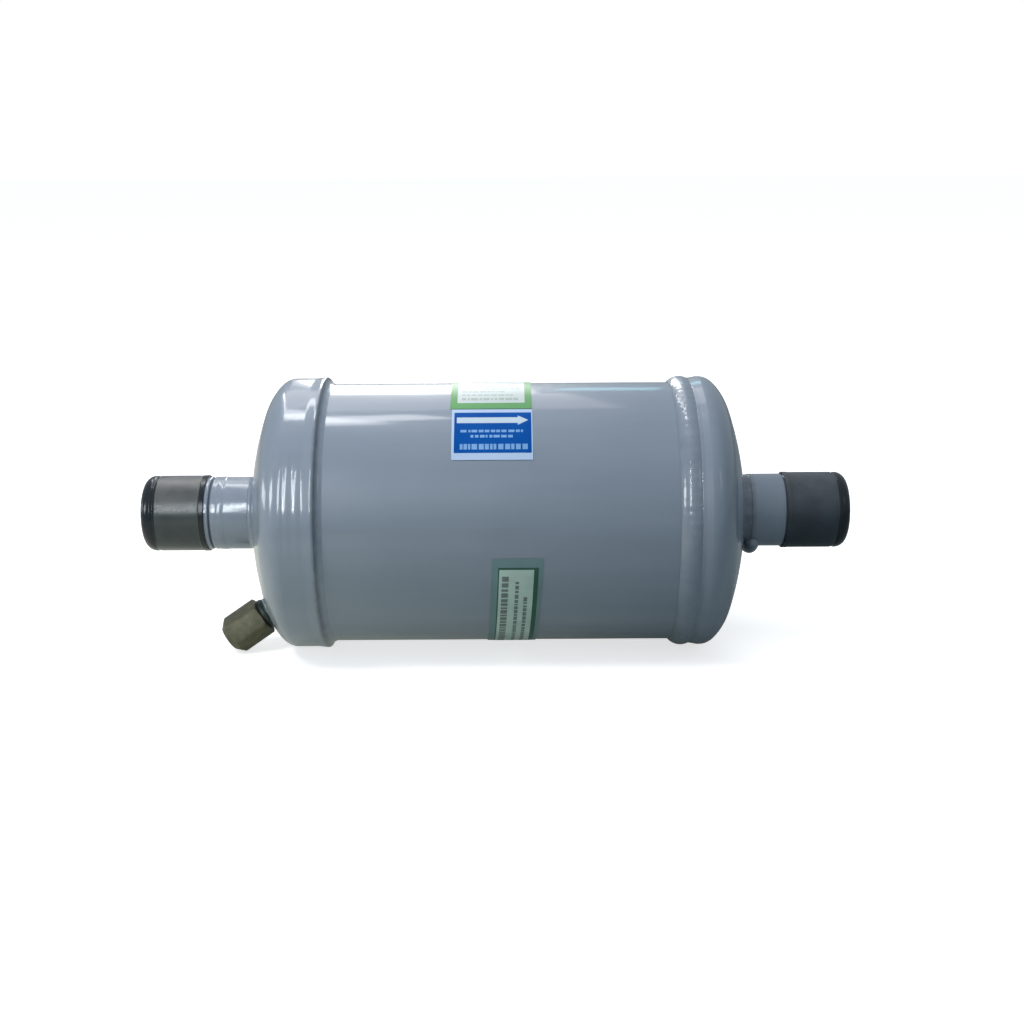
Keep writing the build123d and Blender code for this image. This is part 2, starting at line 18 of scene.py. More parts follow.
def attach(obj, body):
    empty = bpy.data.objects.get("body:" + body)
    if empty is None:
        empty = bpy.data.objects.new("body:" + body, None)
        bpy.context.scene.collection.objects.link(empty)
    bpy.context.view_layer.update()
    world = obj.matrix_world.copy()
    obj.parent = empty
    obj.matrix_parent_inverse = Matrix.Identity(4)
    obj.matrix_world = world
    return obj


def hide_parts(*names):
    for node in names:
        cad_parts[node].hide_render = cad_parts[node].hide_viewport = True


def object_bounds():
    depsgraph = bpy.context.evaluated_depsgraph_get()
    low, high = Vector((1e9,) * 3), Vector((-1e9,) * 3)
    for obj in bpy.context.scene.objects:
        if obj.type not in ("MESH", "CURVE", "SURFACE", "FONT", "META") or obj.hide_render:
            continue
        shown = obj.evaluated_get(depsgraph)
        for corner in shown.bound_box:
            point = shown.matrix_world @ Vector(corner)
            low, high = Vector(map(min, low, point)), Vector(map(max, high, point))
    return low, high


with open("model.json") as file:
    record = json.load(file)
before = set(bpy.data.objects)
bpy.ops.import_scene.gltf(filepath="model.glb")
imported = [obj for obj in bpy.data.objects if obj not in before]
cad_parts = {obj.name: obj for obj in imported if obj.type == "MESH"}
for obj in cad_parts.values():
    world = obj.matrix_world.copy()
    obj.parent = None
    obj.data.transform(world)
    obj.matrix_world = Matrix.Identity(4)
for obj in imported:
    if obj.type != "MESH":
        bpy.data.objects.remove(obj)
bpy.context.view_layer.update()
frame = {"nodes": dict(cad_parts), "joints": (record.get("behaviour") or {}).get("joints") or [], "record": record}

MM = 0.001
mounts = {mount["name"]: mount for mount in frame["record"]["mounts"]}
joints = {joint["name"]: joint for joint in frame["joints"]}

# %% [markdown]
# The camera comes first, because every later choice is judged through it.
# The picture was taken from about 0.62 m away and 15 degrees above the axis, opposite the middle of the
# shell. The lens follows from the size of the shell in the picture, and a tiny roll from its axis's tilt.

# %% Camera
IMAGE_SIZE = 1024
camera_distance = 0.620
camera_elevation = radians(15.0)
camera_foot_x = 0.0045
camera_roll = radians(0.34)
focal_pixels = 1385.0
foot_pixel = (508.5, 511.1)

camera_data = bpy.data.cameras.new("picture_camera")
camera_data.sensor_width = 36.0
camera_data.lens = focal_pixels / IMAGE_SIZE * camera_data.sensor_width
camera_data.shift_x = (IMAGE_SIZE / 2 - foot_pixel[0]) / IMAGE_SIZE
camera_data.shift_y = (foot_pixel[1] - IMAGE_SIZE / 2) / IMAGE_SIZE
camera = bpy.data.objects.new("picture_camera", camera_data)
bpy.context.scene.collection.objects.link(camera)
camera_place = Vector(
    (
        camera_foot_x,
        -camera_distance * cos(camera_elevation),
        camera_distance * sin(camera_elevation),
    )
)
camera.matrix_world = (
    Matrix.Translation(camera_place)
    @ Matrix.Rotation(pi / 2 - camera_elevation, 4, "X")
    @ Matrix.Rotation(-camera_roll, 4, "Z")
)
bpy.context.scene.camera = camera
print("camera at", tuple(round(v, 3) for v in camera_place), "lens", round(camera_data.lens, 1), "mm")

# %% [markdown]
# Semi-gloss enamel shows two things: soft light on its colour, and sharp pictures of the lights in its coat.
# So the lights come in two sets. The soft ones are hidden from reflections. The bright panels are seen only
# in reflections: a window behind the filter draws the white band along its top, a strip on the ceiling draws
# the second streak with a pale glow between them, and tall windows put sparks on the rounded ends.
# The world is a pale blue to the filter and plain white to the camera.


# %% Lights
def softbox(
    name, place, target, width, height, radiance, colour=(1.0, 1.0, 1.0), only="reflections", roll=0.0
):
    """Rectangular light in metres, turned towards a point; it lights only reflections or only matt colour."""
    data = bpy.data.lights.new(name, "AREA")
    data.shape = "RECTANGLE"
    data.size = width
    data.size_y = height
    data.energy = radiance * pi * width * height
    data.color = colour
    light = bpy.data.objects.new(name, data)
    bpy.context.scene.collection.objects.link(light)
    light.visible_diffuse = only == "matt"
    light.visible_glossy = only == "reflections"
    facing = (Vector(target) - Vector(place)).to_track_quat("-Z", "Y").to_matrix().to_4x4()
    light.matrix_world = Matrix.Translation(place) @ facing @ Matrix.Rotation(radians(roll), 4, "Z")
    return light


daylight = (0.90, 0.96, 1.0)
softbox("sky_overhead", (-0.2, -0.1, 1.5), (0, 0, 0), 1.6, 0.9, 2.4, (1.0, 0.98, 0.97), only="matt")
softbox("lamp_left", (-0.34, -0.26, 0.46), (-0.05, 0, 0), 0.16, 0.16, 18.5, (1.0, 0.90, 0.93), only="matt")
softbox("window_behind", (-0.1175, 1.15, 0.56), (0, 0, 0.055), 0.295, 0.62, 6.0)
softbox("cool_strip_behind", (0.135, 1.07, 0.60), (0.05, 0, 0.055), 0.13, 0.17, 1.5, (0.40, 0.85, 1.0))
softbox("ceiling_strip", (-0.205, 0.255, 1.20), (-0.05, 0, 0.05), 0.27, 0.14, 6.2)
softbox("ceiling_glow", (-0.15, 0.74, 1.00), (-0.02, 0, 0.05), 0.55, 0.60, 1.3, (1.0, 0.93, 0.97))
softbox("ceiling_left", (-0.45, 0.65, 1.18), (-0.14, 0, 0.01), 0.12, 1.30, 6.0)
softbox("window_for_tube", (-0.362, -1.074, 0.690), (-0.114, -0.015, 0.007), 0.028, 0.80, 38.0, daylight)
softbox("window_front_left", (-0.445, -1.053, 0.576), (-0.10, 0, 0.02), 0.09, 0.55, 13.0, daylight)
softbox("window_left", (-1.144, -0.50, 0.371), (-0.092, -0.043, 0.02), 0.30, 0.40, 11.0, daylight, roll=-37.0)
softbox("glow_low_left", (-0.666, 0.149, 0.030), (-0.095, -0.036, 0.02), 0.16, 0.075, 5.0, daylight)
softbox("window_right", (1.02, -0.72, 0.72), (0.08, 0, 0), 0.22, 0.35, 1.5, daylight)

world = bpy.data.worlds.new("studio")
world.use_nodes = True
air = world.node_tree
ambient = air.nodes["Background"]
ambient.inputs["Color"].default_value = (0.80, 0.90, 1.0, 1.0)
ambient.inputs["Strength"].default_value = 0.42
seen = air.nodes.new("ShaderNodeBackground")
seen.inputs["Color"].default_value = (1.0, 1.0, 1.0, 1.0)
chooser = air.nodes.new("ShaderNodeMixShader")
ray = air.nodes.new("ShaderNodeLightPath")
air.links.new(ray.outputs["Is Camera Ray"], chooser.inputs["Fac"])
air.links.new(ambient.outputs["Background"], chooser.inputs[1])
air.links.new(seen.outputs["Background"], chooser.inputs[2])
air.links.new(chooser.outputs["Shader"], air.nodes["World Output"].inputs["Surface"])
bpy.context.scene.world = world
bpy.context.scene.view_settings.view_transform = "Standard"

# %% [markdown]
# Each material is a small tree of nodes. Two effects turn up in several finishes, so each is built once
# as a node group with named inputs: the coat, with its patches, streaks and peel, and fine settled dust,
# which on the satin cap also paints a sheen.
# The groups only put out values that vary over the surface. Constants are set on the shader itself.


# %% Node helpers
def add_node(tree, kind, settings=None, **inputs):
    """New node with its settings and its input values; underscores in input names stand for spaces."""
    node = tree.nodes.new(kind)
    for name, value in (settings or {}).items():
        setattr(node, name, value)
    for name, value in inputs.items():
        node.inputs[name.replace("_", " ")].default_value = value
    return node


def new_group(name, inputs, outputs):
    """Empty shader node group with typed sockets; returns it with its input and output nodes."""
    group = bpy.data.node_groups.new(name, "ShaderNodeTree")
    for socket, (kind, value) in inputs.items():
        made = group.interface.new_socket(socket, in_out="INPUT", socket_type=kind)
        made.default_value = value
    for socket, kind in outputs.items():
        group.interface.new_socket(socket, in_out="OUTPUT", socket_type=kind)
    return group, group.nodes.new("NodeGroupInput"), group.nodes.new("NodeGroupOutput")


FLOAT = "NodeSocketFloat"
COLOUR = "NodeSocketColor"
VECTOR = "NodeSocketVector"


def noise(tree, scale, place, detail=3.0, roughness=0.55):
    """Noise texture whose scale follows a socket or a number."""
    texture = add_node(tree, "ShaderNodeTexNoise", Detail=detail, Roughness=roughness)
    tree.links.new(place, texture.inputs["Vector"])
    if isinstance(scale, (int, float)):
        texture.inputs["Scale"].default_value = scale
    else:
        tree.links.new(scale, texture.inputs["Scale"])
    return texture.outputs["Fac"]


def spread(tree, value, low, high, to_low, to_high):
    """Map a value from one range to another, clamped; each limit is a socket or a number."""
    mapped = add_node(tree, "ShaderNodeMapRange", {"clamp": True})
    for socket, limit in (("From Min", low), ("From Max", high), ("To Min", to_low), ("To Max", to_high)):
        if isinstance(limit, (int, float)):
            mapped.inputs[socket].default_value = limit
        else:
            tree.links.new(limit, mapped.inputs[socket])
    tree.links.new(value, mapped.inputs["Value"])
    return mapped.outputs["Result"]


def calculated(tree, operation, first, second):
    """Sum or product of two values, held between 0 and 1; each is a socket or a number."""
    node = add_node(tree, "ShaderNodeMath", {"operation": operation, "use_clamp": True})
    for socket, value in zip(node.inputs, (first, second)):
        if isinstance(value, (int, float)):
            socket.default_value = value
        else:
            tree.links.new(value, socket)
    return node.outputs[0]


def mixed(tree, factor, first, second):
    """Mix of two colours by a factor socket."""
    mix = add_node(tree, "ShaderNodeMix", {"data_type": "RGBA", "blend_type": "MIX"})
    colour_a = [s for s in mix.inputs if s.name == "A" and s.type == "RGBA"][0]
    colour_b = [s for s in mix.inputs if s.name == "B" and s.type == "RGBA"][0]
    for socket, value in ((mix.inputs["Factor"], factor), (colour_a, first), (colour_b, second)):
        if isinstance(value, tuple):
            socket.default_value = value
        else:
            tree.links.new(value, socket)
    return [s for s in mix.outputs if s.type == "RGBA"][0]


print("node helpers ready")

# %% [markdown]
# The coat group moves the colour between a light and a dark tone. A large soft noise does most of it, as a
# sprayed coat is thicker here and there, and a noise pulled out along the axis adds the faint wiping streaks.
# A fine noise lifts the surface, which gives orange peel. Dust lies on faces that look up, so the second
# group reads the normal. On the satin cap that lighter top also paints the sheen of the light above.


# %% Node groups
def build_coat_group():
    """Patchy and streaked colour, peel and uneven gloss, shared by all coats and moulded surfaces."""
    group, given, result = new_group(
        "coat_surface",
        {
            "Light Tone": (COLOUR, (0.5, 0.5, 0.5, 1.0)),
            "Dark Tone": (COLOUR, (0.4, 0.4, 0.4, 1.0)),
            "Patch Scale": (FLOAT, 30.0),
            "Streaks": (FLOAT, 0.5),
            "Peel Scale": (FLOAT, 600.0),
            "Peel Strength": (FLOAT, 0.1),
            "Gloss Low": (FLOAT, 0.25),
            "Gloss High": (FLOAT, 0.35),
        },
        {"Colour": COLOUR, "Roughness": FLOAT, "Normal": VECTOR},
    )
    place = add_node(group, "ShaderNodeTexCoord").outputs["Object"]
    cover = noise(group, given.outputs["Patch Scale"], place, detail=5.0)
    patches = spread(group, cover, 0.25, 0.75, 0.0, 1.0)
    drawn_out = add_node(group, "ShaderNodeMapping", Scale=(0.12, 1.0, 1.0))
    group.links.new(place, drawn_out.inputs["Vector"])
    streaks = spread(group, noise(group, 130.0, drawn_out.outputs["Vector"]), 0.3, 0.7, -0.5, 0.5)
    faded = add_node(group, "ShaderNodeMath", {"operation": "MULTIPLY"})
    group.links.new(streaks, faded.inputs[0])
    group.links.new(given.outputs["Streaks"], faded.inputs[1])
    mask = calculated(group, "ADD", patches, faded.outputs[0])
    colour = mixed(group, mask, given.outputs["Light Tone"], given.outputs["Dark Tone"])
    group.links.new(colour, result.inputs["Colour"])
    gloss = noise(group, 70.0, place, detail=4.0, roughness=0.6)
    rough = spread(group, gloss, 0.25, 0.75, given.outputs["Gloss Low"], given.outputs["Gloss High"])
    group.links.new(rough, result.inputs["Roughness"])
    peel = noise(group, given.outputs["Peel Scale"], place, detail=2.0)
    bump = add_node(group, "ShaderNodeBump", Distance=0.0002)
    group.links.new(given.outputs["Peel Strength"], bump.inputs["Strength"])
    group.links.new(peel, bump.inputs["Height"])
    group.links.new(bump.outputs["Normal"], result.inputs["Normal"])
    return group


def build_dust_and_sheen_group():
    """Thin dust where a face looks up, with soft thick and thin places; on the satin cap it also paints a sheen.
    """
    group, given, result = new_group(
        "settled_dust",
        {
            "Colour": (COLOUR, (0.5, 0.5, 0.5, 1.0)),
            "Roughness": (FLOAT, 0.3),
            "Amount": (FLOAT, 0.1),
            "Dust Tone": (COLOUR, (0.42, 0.41, 0.39, 1.0)),
        },
        {"Colour": COLOUR, "Roughness": FLOAT},
    )
    normal = add_node(group, "ShaderNodeNewGeometry").outputs["Normal"]
    split = add_node(group, "ShaderNodeSeparateXYZ")
    group.links.new(normal, split.inputs["Vector"])
    upward = spread(group, split.outputs["Z"], -0.1, 1.0, 0.0, 1.0)
    place = add_node(group, "ShaderNodeTexCoord").outputs["Object"]
    clouds = spread(group, noise(group, 160.0, place, detail=5.0, roughness=0.6), 0.25, 0.75, 0.35, 1.0)
    cover = calculated(group, "MULTIPLY", upward, clouds)
    amount = calculated(group, "MULTIPLY", cover, given.outputs["Amount"])
    dusted = mixed(group, amount, given.outputs["Colour"], given.outputs["Dust Tone"])
    group.links.new(dusted, result.inputs["Colour"])
    group.links.new(calculated(group, "ADD", given.outputs["Roughness"], amount), result.inputs["Roughness"])
    return group


coat_group = build_coat_group()
dust_and_sheen_group = build_dust_and_sheen_group()
print("node groups:", coat_group.name, dust_and_sheen_group.name)

# %% [markdown]
# One function makes every finish, because they differ only in numbers: tones, gloss, size of patches, peel
# and dust. Enamel, steel, brass and black plastic all go through it. The shade in a seam or a neck is
# painted as a ragged dark ring in the colour.


# %% Finish helpers
def grouped(tree, group, **inputs):
    """Place a node group in a material and set its inputs; underscores stand for spaces."""
    node = tree.nodes.new("ShaderNodeGroup")
    node.node_tree = group
    for name, value in inputs.items():
        node.inputs[name.replace("_", " ")].default_value = value
    return node


def painted_shade_ring(tree, colour, middle, half_width, strength):
    """Darken a colour in a ragged ring of painted shade, set by its place along the axis and half width in mm."""
    place = add_node(tree, "ShaderNodeTexCoord").outputs["Object"]
    split = add_node(tree, "ShaderNodeSeparateXYZ")
    tree.links.new(place, split.inputs["Vector"])
    offset = add_node(tree, "ShaderNodeMath", {"operation": "SUBTRACT"})
    tree.links.new(split.outputs["X"], offset.inputs[0])
    offset.inputs[1].default_value = middle * MM
    distance = add_node(tree, "ShaderNodeMath", {"operation": "ABSOLUTE"})
    tree.links.new(offset.outputs[0], distance.inputs[0])
    near = spread(tree, distance.outputs[0], half_width * 0.3 * MM, half_width * MM, strength, 0.0)
    ragged = spread(tree, noise(tree, 260.0, place), 0.3, 0.6, 0.55, 1.0)
    return mixed(tree, calculated(tree, "MULTIPLY", near, ragged), colour, (0.018, 0.024, 0.030, 1.0))


def finish(
    name, light, dark, gloss, patch=30.0, streaks=0.0, peel=(600.0, 0.1), dust=0.05, painted_shade_rings=(), **shader_values
):
    """Material of one finish: two tones, gloss, peel, dust, rings of painted shade and the shader's constants."""
    material = bpy.data.materials.new(name)
    material.use_nodes = True
    tree = material.node_tree
    shader = tree.nodes["Principled BSDF"]
    coat = grouped(
        tree,
        coat_group,
        Light_Tone=(*light, 1.0),
        Dark_Tone=(*dark, 1.0),
        Patch_Scale=patch,
        Streaks=streaks,
        Peel_Scale=peel[0],
        Peel_Strength=peel[1],
        Gloss_Low=gloss[0],
        Gloss_High=gloss[1],
    )
    dust_and_sheen_node = grouped(tree, dust_and_sheen_group, Amount=dust)
    colour = coat.outputs["Colour"]
    for middle, half_width, strength in painted_shade_rings:
        colour = painted_shade_ring(tree, colour, middle, half_width, strength)
    tree.links.new(colour, dust_and_sheen_node.inputs["Colour"])
    tree.links.new(coat.outputs["Roughness"], dust_and_sheen_node.inputs["Roughness"])
    tree.links.new(dust_and_sheen_node.outputs["Colour"], shader.inputs["Base Color"])
    tree.links.new(dust_and_sheen_node.outputs["Roughness"], shader.inputs["Roughness"])
    tree.links.new(coat.outputs["Normal"], shader.inputs["Normal"])
    for socket, value in shader_values.items():
        shader.inputs[socket.replace("_", " ")].default_value = value
    return material


print("finishes start from", coat_group.name, "and", dust_and_sheen_group.name)

# %% [markdown]
# The whole body has one grey enamel under a clear coat, with more peel over the welds and smaller patches on
# the sockets. A darker enamel paints the shade in a groove and a neck. The left shipping cap is glossy vinyl
# and the right one is satin. The hexagon cap is olive with tarnish. The valve's flange and the top of its foot
# are dark brass, and its thread above them is clean, where the cap keeps it covered.

# %% Finishes
# Rings of painted shade in seams and necks, each with its place along the axis, its half width and its strength
painted_seam_shade = ((-74.75, 1.6, 0.40), (84.3, 0.9, 0.16), (74.8, 0.7, 0.06))
painted_neck_shade = ((109.6, 4.0, 0.55), (-107.6, 1.2, 0.3))

enamel = finish(
    "grey_enamel",
    (0.215, 0.272, 0.338),
    (0.188, 0.244, 0.308),
    (0.34, 0.42),
    patch=14.0,
    streaks=0.5,
    peel=(380.0, 0.05),
    dust=0.03,
    painted_shade_rings=painted_seam_shade,
    Coat_Weight=0.9,
    Coat_Roughness=0.09,
)
socket_enamel = finish(
    "socket_enamel",
    (0.220, 0.275, 0.340),
    (0.175, 0.230, 0.295),
    (0.34, 0.44),
    patch=90.0,
    peel=(600.0, 0.12),
    painted_shade_rings=painted_neck_shade,
    Coat_Weight=0.9,
    Coat_Roughness=0.10,
)
weld_enamel = finish(
    "enamel_over_weld",
    (0.215, 0.272, 0.335),
    (0.170, 0.222, 0.284),
    (0.30, 0.40),
    patch=150.0,
    peel=(500.0, 0.18),
    painted_shade_rings=painted_seam_shade + painted_neck_shade,
    Coat_Weight=0.9,
    Coat_Roughness=0.08,
)
# A darker enamel that paints the shade in the inlet's groove and the outlet's neck
painted_shade_enamel = finish(
    "enamel_dulled_in_a_groove",
    (0.085, 0.112, 0.145),
    (0.060, 0.082, 0.110),
    (0.50, 0.62),
    patch=150.0,
    peel=(500.0, 0.2),
    Coat_Weight=0.1,
    Coat_Roughness=0.3,
)
black_gloss = finish(
    "glossy_black_vinyl",
    (0.044, 0.058, 0.060),
    (0.028, 0.040, 0.042),
    (0.15, 0.24),
    patch=120.0,
    peel=(300.0, 0.03),
    dust=0.24,
)
# Black vinyl for the ends of the caps, and for the inlet cap's rim, where it paints the shade at the mouth
black_end_and_rim_shade = finish(
    "bare_black_vinyl",
    (0.010, 0.017, 0.023),
    (0.006, 0.011, 0.015),
    (0.14, 0.22),
    patch=120.0,
    dust=0.03,
    Specular_IOR_Level=0.35,
)
# Its dust also paints the sheen on the top of the satin cap
black_satin = finish(
    "satin_black_vinyl",
    (0.026, 0.044, 0.060),
    (0.014, 0.026, 0.037),
    (0.36, 0.50),
    patch=110.0,
    peel=(900.0, 0.25),
    dust=0.14,
)
olive_brass = finish(
    "tarnished_hexagon_brass",
    (0.150, 0.128, 0.076),
    (0.048, 0.072, 0.038),
    (0.34, 0.50),
    patch=330.0,
    peel=(700.0, 0.35),
    dust=0.12,
    Metallic=0.4,
)
dark_brass = finish(
    "tarnished_valve_brass",
    (0.040, 0.058, 0.048),
    (0.012, 0.026, 0.022),
    (0.35, 0.55),
    patch=300.0,
    peel=(900.0, 0.2),
    Metallic=0.5,
)
thread_brass = finish(
    "clean_thread_brass",
    (0.52, 0.38, 0.16),
    (0.40, 0.28, 0.11),
    (0.24, 0.38),
    patch=260.0,
    dust=0.0,
    Metallic=1.0,
)
rubber = finish(
    "black_rubber", (0.022, 0.022, 0.022), (0.014, 0.014, 0.014), (0.6, 0.75), peel=(1500.0, 0.3), dust=0.2
)
felt = finish(
    "wool_felt", (0.46, 0.42, 0.34), (0.36, 0.32, 0.25), (0.85, 0.95), patch=300.0, peel=(2500.0, 1.0)
)
pleat_sheet = finish(
    "fibre_sheet", (0.60, 0.55, 0.43), (0.50, 0.45, 0.34), (0.8, 0.9), patch=200.0, peel=(3000.0, 0.8)
)
plated_steel = finish(
    "plated_steel", (0.56, 0.56, 0.52), (0.45, 0.46, 0.44), (0.25, 0.4), patch=150.0, dust=0.0, Metallic=1.0
)
spring_steel = finish(
    "spring_steel", (0.34, 0.34, 0.35), (0.24, 0.24, 0.25), (0.28, 0.4), patch=400.0, dust=0.0, Metallic=1.0
)
print(len(bpy.data.materials), "materials")

# %% [markdown]
# Most of this object was turned or drawn, so it is a profile spun round the X axis. A profile is a short
# chain of points, and its round stretches come from an arc helper. The spin merges its last ring with its
# first, doubles on the axis are merged, and only then are the normals worked out, so that they face outwards.
# An accent gives the faces between two places along the axis a finish of their own, as in a groove.

# %% Turning helpers
SPIN_STEPS = 192
SOCKET_STEPS = 128
WELD_STEPS = 384
STEM_STEPS = 96


def arc(centre, radius, start, end, steps=12):
    """Points of an arc in the (x, radius) plane, angles in degrees from the X axis."""
    angles = [radians(start + (end - start) * i / steps) for i in range(steps + 1)]
    return [(centre[0] + radius * cos(a), centre[1] + radius * sin(a)) for a in angles]


def held(profile, hold=0.25):
    """The same closed profile with a point near both ends of each long straight, so that it shades flat."""
    chain = []
    for (x, r), (next_x, next_r) in zip(profile, profile[1:] + profile[:1]):
        chain.append((x, r))
        length = sqrt((next_x - x) ** 2 + (next_r - r) ** 2)
        if length > 6 * hold:
            for share in (hold / length, 1 - hold / length):
                chain.append((x + (next_x - x) * share, r + (next_r - r) * share))
    return chain


def spun(profile, steps=SPIN_STEPS):
    """Bmesh of a closed profile of (x, radius) points in millimetres, spun about the X axis."""
    mesh = bmesh.new()
    chain = [mesh.verts.new((x * MM, -r * MM, 0.0)) for x, r in held(profile)]
    edges = [mesh.edges.new(pair) for pair in zip(chain, chain[1:] + chain[:1])]
    bmesh.ops.spin(
        mesh,
        geom=chain + edges,
        cent=(0, 0, 0),
        axis=(1, 0, 0),
        dvec=(0, 0, 0),
        angle=2 * pi,
        steps=steps,
        use_merge=True,
        use_duplicate=False,
    )
    return mesh


def piece(name, mesh, material, body="root", stands_for=(), sharp=40.0, accents=()):
    """Finished object that rides on a body; each accent is (material, from x, to x) in millimetres."""
    bmesh.ops.remove_doubles(mesh, verts=mesh.verts, dist=1e-7)
    bmesh.ops.dissolve_degenerate(mesh, edges=mesh.edges, dist=1e-8)
    bmesh.ops.recalc_face_normals(mesh, faces=mesh.faces)
    for index, (_, low, high) in enumerate(accents):
        for face in mesh.faces:
            if low * MM < face.calc_center_median().x < high * MM:
                face.material_index = index + 1
    data = bpy.data.meshes.new(name)
    mesh.to_mesh(data)
    mesh.free()
    data.materials.append(material)
    for accent, _, _ in accents:
        data.materials.append(accent)
    data.shade_smooth()
    data.set_sharp_from_angle(angle=radians(sharp))
    made = bpy.data.objects.new(name, data)
    bpy.context.scene.collection.objects.link(made)
    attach(made, body)
    if stands_for:
        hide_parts(*stands_for)
    print(name, len(data.polygons), "faces")
    return made


# %% [markdown]
# The end caps are drawn from sheet, so their meridian is a chain of three arcs that run into each other
# without a kink: a tight corner, a shoulder and a nearly flat crown. The inner side is the same chain moved
# in by the wall. Both caps share this chain and differ only in their open edge.

# %% Meridian of the end caps
shell_radius = mounts["strap_band"]["dims"]["r_mm"]
cap_inner_radius = shell_radius + 0.15
cap_wall = 2.4
skirt_radius = cap_inner_radius + cap_wall
skirt_end_x = 88.5
corner_radius = 7.6
corner_turn = 43.0
shoulder_radius = 23.0
shoulder_turn = 70.0
port_hole_radius = 15.5

corner_centre = (skirt_end_x, skirt_radius - corner_radius)
shoulder_centre = (
    skirt_end_x + (corner_radius - shoulder_radius) * sin(radians(corner_turn)),
    corner_centre[1] + (corner_radius - shoulder_radius) * cos(radians(corner_turn)),
)
crown_radius = shoulder_radius + shoulder_centre[1] / cos(radians(shoulder_turn))
crown_centre = (shoulder_centre[0] + (shoulder_radius - crown_radius) * sin(radians(shoulder_turn)), 0.0)


def crown_x(radius, inset=0.0):
    """Place of the crown along the axis at a radius, on a surface inset from the outside."""
    return crown_centre[0] + sqrt((crown_radius - inset) ** 2 - radius**2)


def meridian(inset, hole_radius):
    """Chain of points from the skirt over the corner, shoulder and crown to the hole."""
    rim_angle = 90 - degrees(asin(hole_radius / (crown_radius - inset)))
    return (
        arc(corner_centre, corner_radius - inset, 90, 90 - corner_turn, 14)
        + arc(shoulder_centre, shoulder_radius - inset, 90 - corner_turn, 90 - shoulder_turn, 10)[1:]
        + arc(crown_centre, crown_radius - inset, 90 - shoulder_turn, 90 - rim_angle, 16)[1:]
    )


def end_cap(lip):
    """Closed profile of an end cap on the +X side; lip is its outer chain from the skirt's open edge."""
    outer = meridian(0.0, port_hole_radius)
    inner = meridian(cap_wall, port_hole_radius)
    return lip + outer + inner[::-1] + [(lip[0][0], cap_inner_radius)]


def mirrored(profile):
    """The same profile at the inlet end."""
    return [(-x, r) for x, r in profile]


print("crown radius", round(crown_radius, 1), "mm")

# %% [markdown]
# Rolled and drawn sheet is never quite even, and the eye sees it in the edges of the reflections. So the
# outer points of the shell and both caps are moved in, by up to a few hundredths of a millimetre. The drawing
# tool also left two low waves on the front of the inlet skirt, which show only as short upright sparks.

# %% Marks of rolling and drawing
ridge_pitch = 4.0
ridge_height = 0.032
ridge_crests_x = (81.7, 85.7)
first_ridge_x = ridge_crests_x[0] - ridge_pitch / 2
last_ridge_x = ridge_crests_x[-1] + ridge_pitch / 2
ridge_steps = 32
ridge_middle_angle = 20.0
ridge_half_angle = 26.0


def uneven(mesh, depth, seed, inside=shell_radius - 1.0):
    """Move the outer points of a turned mesh in by up to depth, along slow waves of girth and length."""
    chance = Random(seed)
    waves = [
        (chance.choice((2, 3, 5, 7)), chance.uniform(60, 260), chance.uniform(0, 2 * pi)) for _ in range(6)
    ]
    for point in mesh.verts:
        radius = sqrt(point.co.y**2 + point.co.z**2)
        if radius < inside * MM:
            continue
        angle = Vector((point.co.y, point.co.z)).angle_signed(Vector((1.0, 0.0)))
        swells = [sin(count * angle + rate * point.co.x + phase) for count, rate, phase in waves]
        factor = 1 - depth * MM * (1 - sum(swells) / len(waves)) / 2 / radius
        point.co.y *= factor
        point.co.z *= factor
    return mesh


def ridged(mesh):
    """Move points of the inlet skirt out and in as two ridges, which fade out round the girth."""
    for point in mesh.verts:
        radius = sqrt(point.co.y**2 + point.co.z**2)
        along = -point.co.x / MM
        if radius < (skirt_radius - 0.5) * MM or not first_ridge_x < along < last_ridge_x:
            continue
        offset = degrees(atan2(point.co.z, -point.co.y)) - ridge_middle_angle
        if abs(offset) < ridge_half_angle:
            fade = min(1.0, 2.0 * cos(radians(90.0 * offset / ridge_half_angle)))
            wave = (1 + cos(2 * pi * (along - ridge_crests_x[0]) / ridge_pitch)) / 2
            factor = 1 + 2 * ridge_height * MM * (wave - 0.5) * fade / radius
            point.co.y *= factor
            point.co.z *= factor
    return mesh


print("ridges", ridge_height, "mm high at", ridge_crests_x, "mm")

# %% [markdown]
# The shell is a plain tube that runs up inside both caps. The inlet cap's lip flares out where it was pressed
# over the shell. The outlet cap's lip is plain and short, and a big weld bead runs along it.

# %% Shell and end caps
shell_wall = 2.0
shell_half_length = 86.0
lip_round = 0.8

inlet_lip_x = 74.6
inlet_flare = 0.45
inlet_flare_flat = 1.6
inlet_flare_length = 4.0
inlet_flare_end = 0.12
inlet_lip_radius = skirt_radius + inlet_flare
inlet_lip = arc((inlet_lip_x + lip_round, inlet_lip_radius - lip_round), lip_round, 180, 90, 6)
inlet_lip += [(inlet_lip_x + inlet_flare_flat, inlet_lip_radius)]
inlet_lip += [(inlet_lip_x + inlet_flare_length, skirt_radius + inlet_flare_end)]
inlet_lip += [
    (first_ridge_x + (last_ridge_x - first_ridge_x) * step / ridge_steps, skirt_radius)
    for step in range(ridge_steps + 1)
]

outlet_lip_x = 82.9
outlet_lip_wall = 1.7
outlet_lip_slope_end = 0.8
outlet_lip_radius = cap_inner_radius + outlet_lip_wall
outlet_lip = arc((outlet_lip_x + lip_round, outlet_lip_radius - lip_round), lip_round, 180, 90, 6)
outlet_lip += [(skirt_end_x - outlet_lip_slope_end, skirt_radius)]

